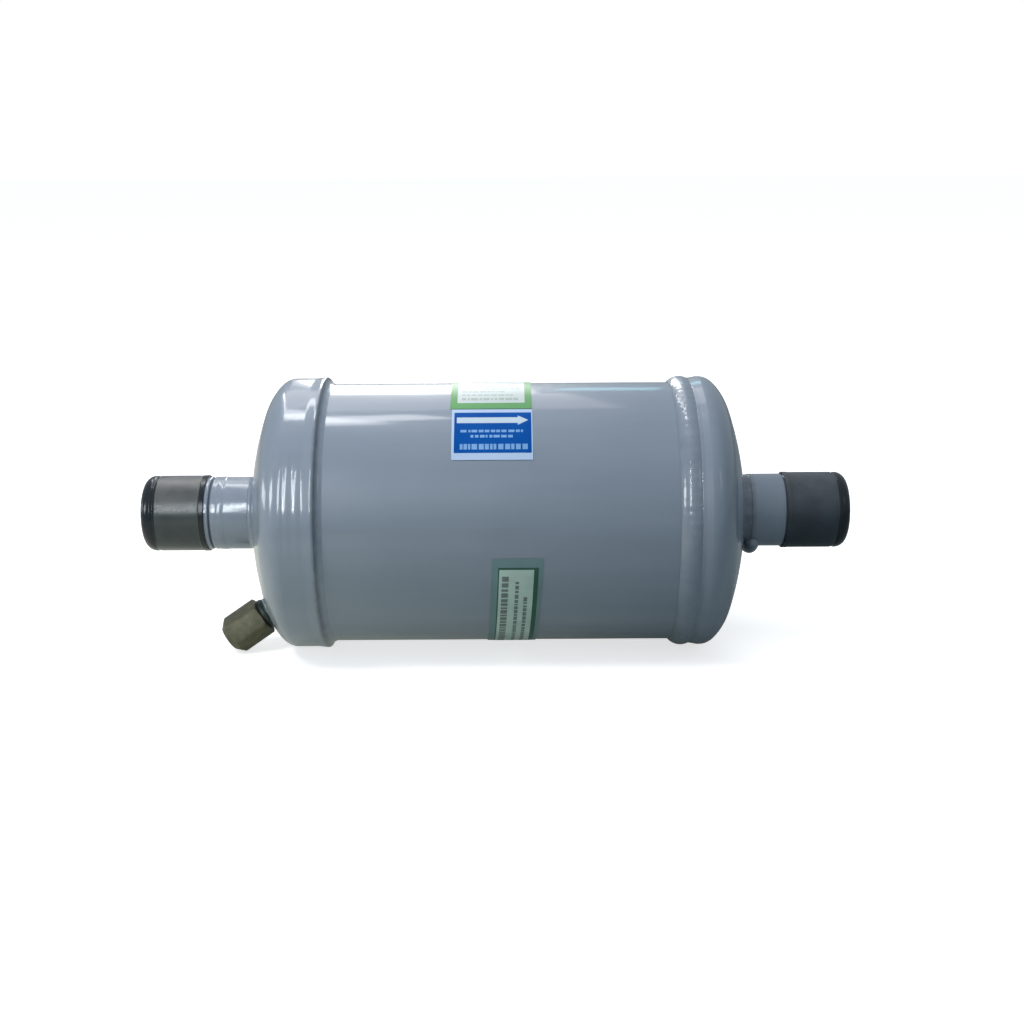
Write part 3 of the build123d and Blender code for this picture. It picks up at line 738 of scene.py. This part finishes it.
x = shell_half_length
rings = 44
tube = [(-x, shell_radius - shell_wall), (x, shell_radius - shell_wall)]
tube += [(x - 2 * x * ring / rings, shell_radius) for ring in range(rings + 1)]
piece("shell_tube", uneven(spun(tube), 0.06, 3), enamel, stands_for=["shell"])
inlet_cap = uneven(ridged(spun(mirrored(end_cap(inlet_lip)))), 0.05, 11)
piece("inlet_cap_drawn", inlet_cap, enamel, stands_for=["inlet_end_cap"])
outlet_cap = uneven(spun(end_cap(outlet_lip)), 0.05, 17)
piece("outlet_cap_drawn", outlet_cap, enamel, stands_for=["outlet_end_cap"])

# %% [markdown]
# The seams are run with wire on a turning jig, so a bead is a ring with shallow ripples, one for each pulse
# of the welder. The profile is spun as before, and waves round the girth then lower its crest a little.
# The inlet seam is small and lies hollow behind the flared lip, where its shade is painted as a dark ring.


# %% Seam welds
def rippled(mesh, base_radius, height, count, depth, seed):
    """Move the outer points of a ring in, more and less round its girth, so that a bead has ripples."""
    chance = Random(seed)
    phases = [chance.uniform(0, 2 * pi) for _ in range(3)]
    for point in mesh.verts:
        radius = sqrt(point.co.y**2 + point.co.z**2)
        lift = (radius - base_radius * MM) / (height * MM)
        if lift < 0.02:
            continue
        angle = Vector((point.co.y, point.co.z)).angle_signed(Vector((1.0, 0.0)))
        wave = 0.6 * sin(count * angle + phases[0])
        wave += 0.25 * sin(7 * angle + phases[1]) + 0.15 * sin(17 * angle + phases[2])
        change = depth * MM * lift * (wave - 1.0)
        factor = (radius + change) / radius
        point.co.y *= factor
        point.co.z *= factor
    return mesh


def bulged_arc(start, end, bulge, steps=12):
    """Points of the arc between two points that bulges out from the chord, or in where it is negative."""
    first = Vector(start)
    last = Vector(end)
    half = (last - first) / 2
    out = Vector((-half.y, half.x)).normalized()
    radius = (half.length_squared + bulge**2) / (2 * abs(bulge))
    turn = asin(half.length / radius)
    side = 1 if bulge > 0 else -1
    centre = first + half + out * (bulge - side * radius)
    points = []
    for i in range(steps + 1):
        angle = turn * (2 * i / steps - 1)
        along = half.normalized() * radius * sin(angle)
        outward = out * side * radius * cos(angle)
        points.append(tuple(centre + along + outward))
    return points


outlet_weld_width = 8.0
outlet_weld_height = 2.7
outlet_weld_bulge = 1.75
bead_overlap = 0.7
foot_x = outlet_lip_x - outlet_weld_width
bead_end = (outlet_lip_x + bead_overlap, outlet_lip_radius - 0.05)
bead = bulged_arc((foot_x, shell_radius), bead_end, outlet_weld_bulge, 16)
bead += [(outlet_lip_x + bead_overlap, shell_radius + 1.0), (outlet_lip_x, shell_radius)]
piece(
    "outlet_seam_bead",
    rippled(spun(bead, WELD_STEPS), shell_radius, outlet_weld_height, 96, 0.12, 5),
    weld_enamel,
    stands_for=["outlet_seam_weld"],
)

inlet_weld_width = 3.0
inlet_weld_height = 2.0
inlet_weld_hollow = 0.3
inlet_weld_top = inlet_lip_radius - lip_round - 0.2
foot_x = inlet_lip_x - inlet_weld_width
bead = bulged_arc((foot_x, shell_radius), (inlet_lip_x + 0.1, inlet_weld_top), -inlet_weld_hollow, 10)
bead += [(inlet_lip_x + 0.1, shell_radius)]
piece(
    "inlet_seam_bead",
    rippled(spun(mirrored(bead), WELD_STEPS), shell_radius, inlet_weld_height, 110, 0.10, 8),
    weld_enamel,
    stands_for=["inlet_seam_weld"],
)

# %% [markdown]
# The sockets are turned from steel. Each has a spigot inside the cap, a small groove over the stop that the
# copper tube meets, and a bevelled mouth. The inlet's groove and the outlet's neck get a darker enamel of
# their own, which paints the shade in them.

# %% Sockets
socket_radius = mounts["inlet_socket"]["dims"]["r_mm"]
fitting_radius = 16.15
fitting_mouth_x = 150.8
stop_x = fitting_mouth_x - 24.3
throat_radius = 12.9
spigot_radius = 15.4
mouth_bevel = 0.5
ripple_x = stop_x - 4.6
ripple_half_width = 1.6
ripple_height = 0.12
spigot_end = crown_x(spigot_radius, cap_wall) - 2.2
# Offsets from the stop and depths of the groove over it
groove_section = ((-0.9, 0.0), (-0.5, 0.25), (0.0, 0.7), (0.5, 0.25), (0.9, 0.0))
groove_shade = 0.55


def fitting(shoulder_x, ripple):
    """Closed profile of a socket on the +X side; ripple adds a low ring between the stop and the cap."""
    chain = [(spigot_end, throat_radius), (spigot_end, spigot_radius), (shoulder_x, spigot_radius)]
    chain += [(shoulder_x, fitting_radius - 0.2), (shoulder_x + 0.2, fitting_radius)]
    if ripple:
        chain.append((ripple_x - ripple_half_width, fitting_radius))
        for step in range(-60, 61, 20):
            across = ripple_half_width * sin(radians(step))
            chain.append((ripple_x + across, fitting_radius + ripple_height * cos(radians(step))))
        chain.append((ripple_x + ripple_half_width, fitting_radius))
    chain += [(stop_x + along, fitting_radius - depth) for along, depth in groove_section]
    chain += [(fitting_mouth_x - mouth_bevel, fitting_radius)]
    chain += [(fitting_mouth_x, fitting_radius - mouth_bevel), (fitting_mouth_x, socket_radius + mouth_bevel)]
    chain += [(fitting_mouth_x - mouth_bevel, socket_radius), (stop_x, socket_radius)]
    chain += [(stop_x, throat_radius)]
    return chain


inlet_shoulder = crown_x(fitting_radius) + 0.3
outlet_shoulder = crown_x(spigot_radius) + 3.6
piece(
    "inlet_socket_turned",
    spun(mirrored(fitting(inlet_shoulder, True)), SOCKET_STEPS),
    socket_enamel,
    stands_for=["inlet_socket_fitting"],
    accents=[(painted_shade_enamel, -stop_x - groove_shade, -stop_x + groove_shade)],
)
piece(
    "outlet_socket_turned",
    spun(fitting(outlet_shoulder, False), SOCKET_STEPS),
    socket_enamel,
    stands_for=["outlet_socket_fitting"],
    accents=[(painted_shade_enamel, spigot_end + 0.1, outlet_shoulder - 0.01)],
)

# %% [markdown]
# The shipping caps are moulded vinyl that stretches over the socket. They have a rolled rim, a groove near
# the end and a rounded corner. Dust has dulled the middle of the inlet's cap. Its end is black, and its rim
# is black too, which paints the shade at its mouth. The pull notch by its groove is a patch of faces pushed in.
# Each cap rides on a body of its own, so it slides off in the poses.

# %% Shipping caps
slip_inner = fitting_radius + 0.05
slip_outer = slip_inner + 0.6
slip_corner = 4.6
slip_inner_corner = 1.3
slip_length = 28.2
slip_end = 2.2
slip_groove = 5.6
slip_groove_depth = 0.3
slip_groove_near = 0.4
slip_groove_far = 0.6
slip_rim = 0.15
slip_rim_width = 2.2
notch_near = 1.2
notch_far = 3.0
notch_angle = 20.0
notch_width = 7.0
notch_edge = 0.12
notch_depth = 0.3


def slip_cap(floor_x):
    """Closed profile of a shipping cap on the +X side, from its rim to its closed end."""
    end_x = floor_x + slip_end
    mouth_x = end_x - slip_length
    groove_x = end_x - slip_groove
    rim_x = mouth_x + slip_rim_width
    chain = [(mouth_x, slip_inner), (mouth_x, slip_outer), (mouth_x + slip_rim, slip_outer + slip_rim)]
    chain += [(rim_x, slip_outer + slip_rim), (rim_x + 2 * slip_rim, slip_outer)]
    chain += [(groove_x - notch_far, slip_outer), (groove_x - notch_near, slip_outer)]
    chain += [(groove_x - slip_groove_near, slip_outer - slip_groove_depth + 0.02)]
    chain += [(groove_x, slip_outer - slip_groove_depth), (groove_x + slip_groove_far, slip_outer)]
    chain += arc((end_x - slip_corner, slip_outer - slip_corner), slip_corner, 90, 0, 10)
    chain += [(end_x, 0.0), (floor_x, 0.0)]
    chain += arc((floor_x - slip_inner_corner, slip_inner - slip_inner_corner), slip_inner_corner, 0, 90, 5)
    return chain


def notched(mesh, from_x, to_x, angle, width):
    """Push in a small patch of a turned mesh, between two places along the axis and about an angle."""
    patch = []
    for face in mesh.faces:
        centre = face.calc_center_median()
        about = degrees(atan2(centre.z, -centre.y))
        outside = sqrt(centre.y**2 + centre.z**2) > (slip_inner + 0.1) * MM
        if outside and abs(about - angle) < width / 2 and from_x * MM < centre.x < to_x * MM:
            patch.append(face)
    bmesh.ops.recalc_face_normals(mesh, faces=mesh.faces)
    bmesh.ops.inset_region(
        mesh, faces=patch, thickness=notch_edge * MM, depth=-notch_depth * MM, use_even_offset=True
    )
    return mesh


inlet_floor = fitting_mouth_x + 3.9
inlet_end = inlet_floor + slip_end
inlet_groove = inlet_end - slip_groove
inlet_slip = notched(
    spun(mirrored(slip_cap(inlet_floor)), SOCKET_STEPS),
    -inlet_groove + notch_near,
    -inlet_groove + notch_far,
    notch_angle,
    notch_width,
)
inlet_rim_x = -inlet_end + slip_length - slip_rim_width
piece(
    "inlet_vinyl_cap",
    inlet_slip,
    black_gloss,
    body="inlet_shipping_cap",
    stands_for=["inlet_shipping_cap"],
    accents=[
        (black_end_and_rim_shade, -inlet_end - 1.0, -inlet_groove + notch_near + 0.05),
        # The black at the rim paints the shade at the cap's mouth
        (black_end_and_rim_shade, inlet_rim_x - 0.1, -inlet_end + slip_length + 1.0),
    ],
)
outlet_floor = fitting_mouth_x + 1.4
outlet_end = outlet_floor + slip_end
piece(
    "outlet_vinyl_cap",
    spun(slip_cap(outlet_floor), SOCKET_STEPS),
    black_satin,
    body="outlet_shipping_cap",
    stands_for=["outlet_shipping_cap"],
    accents=[(black_end_and_rim_shade, outlet_end - slip_groove - 0.2, outlet_end + 1.0)],
)

# %% [markdown]
# The service valve is brass, brazed into the crown and painted over at its foot. Its body is turned, so it is
# spun like the sockets and then set on its own axis, which the frame gives. Its thread is a small blunt
# tooth that climbs as it turns. The lower part of its foot has the enamel, the top of its foot and its flange
# are dark brass, and its thread is clean.

# %% Valve stem
valve_joint = joints["valve_cap_turn"]
valve_axis = Vector(valve_joint["axis"]).normalized()
valve_side = Vector((1.0, 0.0, 0.0)).cross(valve_axis).normalized()
valve_frame = Matrix((valve_axis, valve_side, valve_axis.cross(valve_side))).transposed().to_4x4()
valve_frame.translation = Vector(valve_joint["pos_m"])

boss_radius = 6.3
boss_height = 2.2
boss_depth = 4.2
flange_radius = 6.9
flange_top = 4.3
thread_radius = mounts["access_thread"]["dims"]["r_mm"]
stem_top = flange_top + mounts["access_thread"]["dims"]["length_mm"]
thread_pitch = 1.27
thread_depth = 0.62
thread_runout = 1.6
tooth_flank = 0.55
tooth_crest = 0.15
chamber_radius = 2.7
chamber_floor = stem_top - 13.6
passage_radius = 1.6

core_of_thread = thread_radius - thread_depth
paint_edge = boss_height - 1.0
stem = [(-boss_depth, passage_radius), (-boss_depth, boss_radius), (paint_edge, boss_radius)]
stem += [(boss_height, boss_radius)]
stem += [(boss_height, flange_radius - 0.3), (boss_height + 0.3, flange_radius)]
stem += [(flange_top - 0.3, flange_radius), (flange_top, flange_radius - 0.3), (flange_top, core_of_thread)]
stem += [(stem_top - 0.4, core_of_thread), (stem_top, core_of_thread - 0.4), (stem_top, chamber_radius)]
stem += [(chamber_floor, chamber_radius), (chamber_floor, passage_radius)]
stem_mesh = spun(stem, STEM_STEPS)
for face in stem_mesh.faces:
    height = face.calc_center_median().x / MM
    if height > flange_top - 0.01:
        face.material_index = 2
    elif height < paint_edge:
        face.material_index = 1

turns = int((stem_top - flange_top - thread_runout) / thread_pitch)
steps_a_turn = 48
tooth_foot_x = flange_top + 0.4
tooth_top_x = tooth_foot_x + tooth_flank
tooth_foot_radius = core_of_thread - 0.1
tooth = [(tooth_foot_x, tooth_foot_radius), (tooth_top_x, thread_radius)]
tooth += [(tooth_top_x + tooth_crest, thread_radius)]
tooth += [(tooth_top_x + tooth_crest + tooth_flank, tooth_foot_radius)]
corners = [stem_mesh.verts.new((x * MM, -r * MM, 0.0)) for x, r in tooth]
tooth_face = stem_mesh.faces.new(corners)
tooth_face.material_index = 2
bmesh.ops.spin(
    stem_mesh,
    geom=[tooth_face],
    cent=(0, 0, 0),
    axis=(1, 0, 0),
    dvec=(thread_pitch / steps_a_turn * MM, 0, 0),
    angle=2 * pi * turns,
    steps=steps_a_turn * turns,
    use_merge=False,
    use_duplicate=False,
)
bmesh.ops.transform(stem_mesh, matrix=valve_frame, verts=stem_mesh.verts)
stem_piece = piece(
    "valve_stem_turned", stem_mesh, dark_brass, stands_for=["valve_stem"], sharp=30.0
)
stem_piece.data.materials.append(weld_enamel)
stem_piece.data.materials.append(thread_brass)

# %% [markdown]
# The hexagon cap starts from a copy of its solid. Its triangles are joined and its flats made whole again,
# so that a bevel can put a small round on each crisp edge. It rides on the body that turns.


# %% Hexagon cap
def merged_copy(node_name):
    """Bmesh of a solid with its loose triangles joined."""
    mesh = bmesh.new()
    mesh.from_mesh(frame["nodes"][node_name].data)
    bmesh.ops.remove_doubles(mesh, verts=mesh.verts, dist=1e-6)
    return mesh


edge_round = 0.25
crisp_angle = radians(40)
hexagon = merged_copy("valve_cap")
bmesh.ops.dissolve_limit(
    hexagon, angle_limit=radians(0.5), verts=hexagon.verts, edges=hexagon.edges, use_dissolve_boundaries=False
)
crisp = [edge for edge in hexagon.edges if edge.is_manifold and edge.calc_face_angle() > crisp_angle]
bmesh.ops.bevel(
    hexagon,
    geom=crisp,
    offset=edge_round * MM,
    affect="EDGES",
    segments=2,
    profile=0.5,
    material=-1,
    clamp_overlap=True,
)
piece(
    "hexagon_cap",
    hexagon,
    olive_brass,
    body="valve_cap",
    stands_for=["valve_cap"],
    sharp=35.0,
)

# %% [markdown]
# The small welds keep the shapes of their solids. They only need joined triangles, so that they shade
# smoothly, and the enamel that runs over them.

# %% Small welds
for node_name, made_name in (
    ("valve_braze_ring", "valve_braze_fillet"),
    ("inlet_port_weld", "inlet_port_fillet"),
    ("outlet_port_weld", "outlet_port_run"),
):
    fillet = merged_copy(node_name)
    piece(made_name, fillet, weld_enamel, stands_for=[node_name], sharp=50.0)

# %% [markdown]
# The labels are thin printed film stuck on the shell. A label or a field of print is drawn flat, cut into
# narrow strips across its height, given its thickness, and then bent round the shell.
# The words of the real labels aren't copied: short bars stand in their place.

# %% Label helpers
film_radius = shell_radius + 0.1
film = 0.15
print_radius = film_radius + film
ink = 0.03


def bent(outlines, middle_angle, radius, thickness, strip=1.0):
    """Bmesh of flat outlines of (across, up) points in millimetres, bent round the shell."""
    mesh = bmesh.new()
    for outline in outlines:
        corners = [mesh.verts.new((u * MM, v * MM, 0.0)) for u, v in outline]
        mesh.faces.new(corners)
    low = min(v for outline in outlines for u, v in outline)
    high = max(v for outline in outlines for u, v in outline)
    for cut in range(1, int((high - low) / strip) + 1):
        bmesh.ops.bisect_plane(
            mesh,
            geom=mesh.verts[:] + mesh.edges[:] + mesh.faces[:],
            plane_co=(0, (low + cut * strip) * MM, 0),
            plane_no=(0, 1, 0),
        )
    bmesh.ops.recalc_face_normals(mesh, faces=mesh.faces)
    bmesh.ops.solidify(mesh, geom=mesh.faces[:], thickness=thickness * MM)
    lowest = min(point.co.z for point in mesh.verts)
    for point in mesh.verts:
        angle = radians(middle_angle) + point.co.y / (film_radius * MM)
        out = radius * MM + point.co.z - lowest
        point.co = (point.co.x, -out * cos(angle), out * sin(angle))
    return mesh


def rectangle(left, right, low, high):
    """Corners of an upright rectangle."""
    return [(left, low), (right, low), (right, high), (left, high)]


def bars(left, right, middle, height, seed, longest):
    """A row of short bars in the place of a line of words."""
    chance = Random(seed)
    row = []
    start = left
    while start < right - 0.8:
        length = min(chance.uniform(0.8, longest), right - start)
        row.append(rectangle(start, start + length, middle - height / 2, middle + height / 2))
        start += length + chance.uniform(0.35, 0.8)
    return row


print("film", film, "mm thick at radius", round(film_radius, 2), "mm")

# %% [markdown]
# Every field of colour on a label is a finish of its own: printed film is nearly even in colour, with a
# little dust and a faint ripple. The lower label lies in shade and has aged, so its greens are dull.


# %% Label finishes
def label_finish(name, light, dark, shine=0.3, dust=0.03):
    """Printed film in two close tones of one colour."""
    gloss = (0.25, 0.4)
    peel = (250.0, 0.05)
    return finish(name, light, dark, gloss, patch=60.0, peel=peel, dust=dust, Specular_IOR_Level=shine)


white_film = label_finish("white_film", (0.45, 0.61, 0.82), (0.40, 0.56, 0.77))
label_paper = label_finish("label_paper", (0.60, 0.68, 0.70), (0.50, 0.60, 0.58))
white_print = label_finish("white_print", (0.52, 0.66, 0.75), (0.46, 0.60, 0.70))
pale_blue_print = label_finish("pale_blue_print", (0.21, 0.43, 0.74), (0.10, 0.30, 0.60))
blue_print = label_finish("blue_print", (0.002, 0.088, 0.390), (0.001, 0.066, 0.310), shine=0.05, dust=0.0)
green_print = label_finish("green_print", (0.110, 0.360, 0.115), (0.085, 0.300, 0.095))
faint_print = label_finish("faint_print", (0.40, 0.50, 0.44), (0.34, 0.44, 0.38))
dull_green_film = label_finish("dull_green_film", (0.165, 0.290, 0.300), (0.140, 0.230, 0.250))
dark_green_print = label_finish("dark_green_print", (0.030, 0.115, 0.080), (0.022, 0.085, 0.062))
pale_green_film = label_finish("pale_green_film", (0.54, 0.74, 0.66), (0.36, 0.50, 0.46))
grey_print = label_finish("grey_print", (0.200, 0.250, 0.250), (0.110, 0.140, 0.140))
print(len(bpy.data.materials), "materials with those of the labels")

# %% [markdown]
# The flow label is white film with a blue field, an arrow that points the way the gas goes, and three rows
# of bars. It hangs just below the upper label, so its angle follows from the heights of both.

# %% Flow label
upper_height = 43.8
upper_angle = 85.6
flow_height = 26.7
label_spacing = 0.5
flow_angle = upper_angle - degrees(((upper_height + flow_height) / 2 + label_spacing) / film_radius)
flow_x = -2.1
flow_half = 33.6 / 2
flow_outline = rectangle(flow_x - flow_half, flow_x + flow_half, -flow_height / 2, flow_height / 2)
flow_field = rectangle(-17.85, 14.2, -10.2, 11.2)
piece(
    "flow_label_film",
    bent([flow_outline], flow_angle, film_radius, film),
    white_film,
    stands_for=["flow_label"],
)
piece("flow_label_field", bent([flow_field], flow_angle, print_radius, ink), blue_print)

shaft_half = 1.65
head_half = 2.75
arrow_y = 6.5
arrow_tail_x = -16.8
arrow_neck_x = 8.6
arrow_tip_x = 12.9
arrow = [
    (arrow_tail_x, arrow_y - shaft_half),
    (arrow_neck_x, arrow_y - shaft_half),
    (arrow_neck_x, arrow_y - head_half),
    (arrow_tip_x, arrow_y),
    (arrow_neck_x, arrow_y + head_half),
    (arrow_neck_x, arrow_y + shaft_half),
    (arrow_tail_x, arrow_y + shaft_half),
]
piece("flow_arrow", bent([arrow], flow_angle, print_radius + ink, ink), white_print)

small_bar = 1.3
bold_bar = 2.6
# Each row has its left and right ends, its middle, its height, its seed and its longest bar
flow_rows = (
    (-15.2, 10.9, 0.5, small_bar, 2, 2.6),
    (-11.0, 7.6, -2.2, small_bar, 3, 2.6),
    (-15.4, 12.6, -7.3, bold_bar, 4, 2.4),
)
lines = []
for row in flow_rows:
    lines += bars(*row)
piece("flow_label_bars", bent(lines, flow_angle, print_radius + ink, ink, 0.6), pale_blue_print)

# %% [markdown]
# The upper label lies along the top of the shell, where the picture shows only its edge. It is green film
# with a pale field and nine rows of faint bars.

# %% Upper label
upper_x = -2.6
upper_half = 34.3 / 2
upper_field_half = 14.2
upper_field_half_height = 17.7
upper_text_half = 12.4
lowest_row = -14.6
row_spacing = 3.6
row_indent = 3.0
plain_row_height = 1.1
heading_row_height = 2.0
upper_outline = rectangle(upper_x - upper_half, upper_x + upper_half, -upper_height / 2, upper_height / 2)
upper_field = rectangle(
    upper_x - upper_field_half,
    upper_x + upper_field_half,
    -upper_field_half_height,
    upper_field_half_height,
)
piece(
    "upper_label_film",
    bent([upper_outline], upper_angle, film_radius, film),
    green_print,
    stands_for=["upper_label"],
)
piece("upper_label_field", bent([upper_field], upper_angle, print_radius, ink), label_paper)
lines = []
for row in range(9):
    right = upper_x + upper_text_half - row_indent * (row % 3)
    height = plain_row_height if row % 4 else heading_row_height
    middle = lowest_row + row_spacing * row
    lines += bars(upper_x - upper_text_half, right, middle, height, 40 + row, 3.0)
piece("upper_label_bars", bent(lines, upper_angle, print_radius + ink, ink, 0.6), faint_print)

# %% [markdown]
# The lower label is long and runs down out of sight under the shell. It was stuck on a little askew, so
# every outline on it leans. Its bars stand in columns, because its words run down the shell.

# %% Lower label
lower_x = 6.6
lower_half = 20.9 / 2
lower_height = 75.0
lower_angle = -42.5
lower_slant = radians(2.5)
field_left = -7.4
field_right = 6.9
field_top = 32.6
field_bottom = -34.5


def leaning(left, right, low, high):
    """Corners of a parallelogram on the lower label, which is stuck on askew."""
    return [(lower_x + u + tan(lower_slant) * v, v) for u, v in rectangle(left, right, low, high)]


half = lower_half / cos(lower_slant)
lower_outline = leaning(-half, half, -lower_height / 2, lower_height / 2)
lower_frame = leaning(field_left - 0.5, field_right + 1.9, field_bottom - 1.0, field_top + 1.0)
lower_field = leaning(field_left, field_right, field_bottom, field_top)
piece(
    "lower_label_film",
    bent([lower_outline], lower_angle, film_radius, film),
    dull_green_film,
    stands_for=["lower_label"],
)
piece(
    "lower_label_frame", bent([lower_frame], lower_angle, print_radius, ink), dark_green_print
)
piece(
    "lower_label_field",
    bent([lower_field], lower_angle, print_radius + ink, ink),
    pale_green_film,
)

# Each column has its place across, its width and its top
bar_columns = ((-4.8, 2.8, 29.5), (0.2, 1.5, 27.0), (3.9, 1.5, 19.0))
columns = []
for column, (u, width, top) in enumerate(bar_columns):
    chance = Random(20 + column)
    v = top
    while v > field_bottom + 3.0:
        length = chance.uniform(0.9, 2.6)
        columns.append(leaning(u - width / 2, u + width / 2, v - length, v))
        v -= length + chance.uniform(0.4, 0.9)
column_bars = bent(columns, lower_angle, print_radius + 2 * ink, ink, 0.8)
piece("lower_label_bars", column_bars, grey_print)

# %% [markdown]
# Pieces that stay as their solids still get a finish of their own. A CAD node's mesh is never touched: its
# material goes into the slot that its object already has.

# %% Finishes on the remaining solids
node_finishes = {
    "valve_cap_gasket": rubber,
    "valve_core_body": thread_brass,
    "valve_core_pin": thread_brass,
    "valve_core_seal": rubber,
    "valve_core_spring": spring_steel,
    "outlet_baffle": plated_steel,
    "felt_ring": felt,
    "element_open_disc": plated_steel,
    "element_closed_disc": plated_steel,
    "element_media": pleat_sheet,
    "element_core_tube": plated_steel,
    "inlet_spider": plated_steel,
    "element_spring": spring_steel,
}
for node_name, material in node_finishes.items():
    solid = frame["nodes"][node_name]
    for material_slot in solid.material_slots:
        material_slot.material = material
print(len(node_finishes), "solids given a finish")

# %% [markdown]
# The floor is one wide pale sheet at the lowest point of the filter. The picture's ground is white, but a
# white floor would throw too much light up on the shell. So its paint is paler for the camera than for the
# light that bounces off it, and what it throws up is brighter near the left end of the filter. It also glows
# by itself: strongly for the camera, which keeps the shadow faint, and less for what it throws up.

# %% Floor
floor_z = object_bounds()[0][2]
floor_half = 8.0
seen_paint = ((0.90, 0.90, 0.90, 1.0), (0.86, 0.86, 0.86, 1.0))
seen_glow = (0.68, 0.68, 0.68, 1.0)
thrown_left = (0.50, 0.52, 0.46, 1.0)
thrown_right = (0.25, 0.27, 0.27, 1.0)
lit_left = (0.35, 0.36, 0.31, 1.0)
lit_right = (0.02, 0.03, 0.03, 1.0)
lit_far_left = (0.08, 0.08, 0.08, 1.0)
left_to_right = (-0.20, 0.10)
far_left_to_left = (-0.32, -0.16)

sheet = bmesh.new()
bmesh.ops.create_grid(
    sheet, x_segments=1, y_segments=1, size=floor_half, matrix=Matrix.Translation((0, 0, floor_z))
)
floor_data = bpy.data.meshes.new("floor")
sheet.to_mesh(floor_data)
sheet.free()
floor = bpy.data.objects.new("floor", floor_data)
bpy.context.scene.collection.objects.link(floor)

floor_paint = bpy.data.materials.new("pale_floor")
floor_paint.use_nodes = True
tree = floor_paint.node_tree
shader = tree.nodes["Principled BSDF"]
camera_ray = tree.nodes.new("ShaderNodeLightPath").outputs["Is Camera Ray"]
floor_place = tree.nodes.new("ShaderNodeTexCoord").outputs["Object"]
grain = noise(tree, 900.0, floor_place, detail=2.0)
pale = mixed(tree, grain, *seen_paint)
floor_split = tree.nodes.new("ShaderNodeSeparateXYZ")
tree.links.new(floor_place, floor_split.inputs["Vector"])
to_right = spread(tree, floor_split.outputs["X"], *left_to_right, 0.0, 1.0)
from_far_left = spread(tree, floor_split.outputs["X"], *far_left_to_left, 0.0, 1.0)
thrown = mixed(tree, to_right, thrown_left, thrown_right)
lit = mixed(tree, to_right, lit_left, lit_right)
lit = mixed(tree, from_far_left, lit_far_left, lit)
tree.links.new(mixed(tree, camera_ray, thrown, pale), shader.inputs["Base Color"])
tree.links.new(mixed(tree, camera_ray, lit, seen_glow), shader.inputs["Emission Color"])
shader.inputs["Emission Strength"].default_value = 1.0
shader.inputs["Roughness"].default_value = 0.7
shader.inputs["Specular IOR Level"].default_value = 0.1
floor_data.materials.append(floor_paint)
print("floor at", round(floor_z, 4))
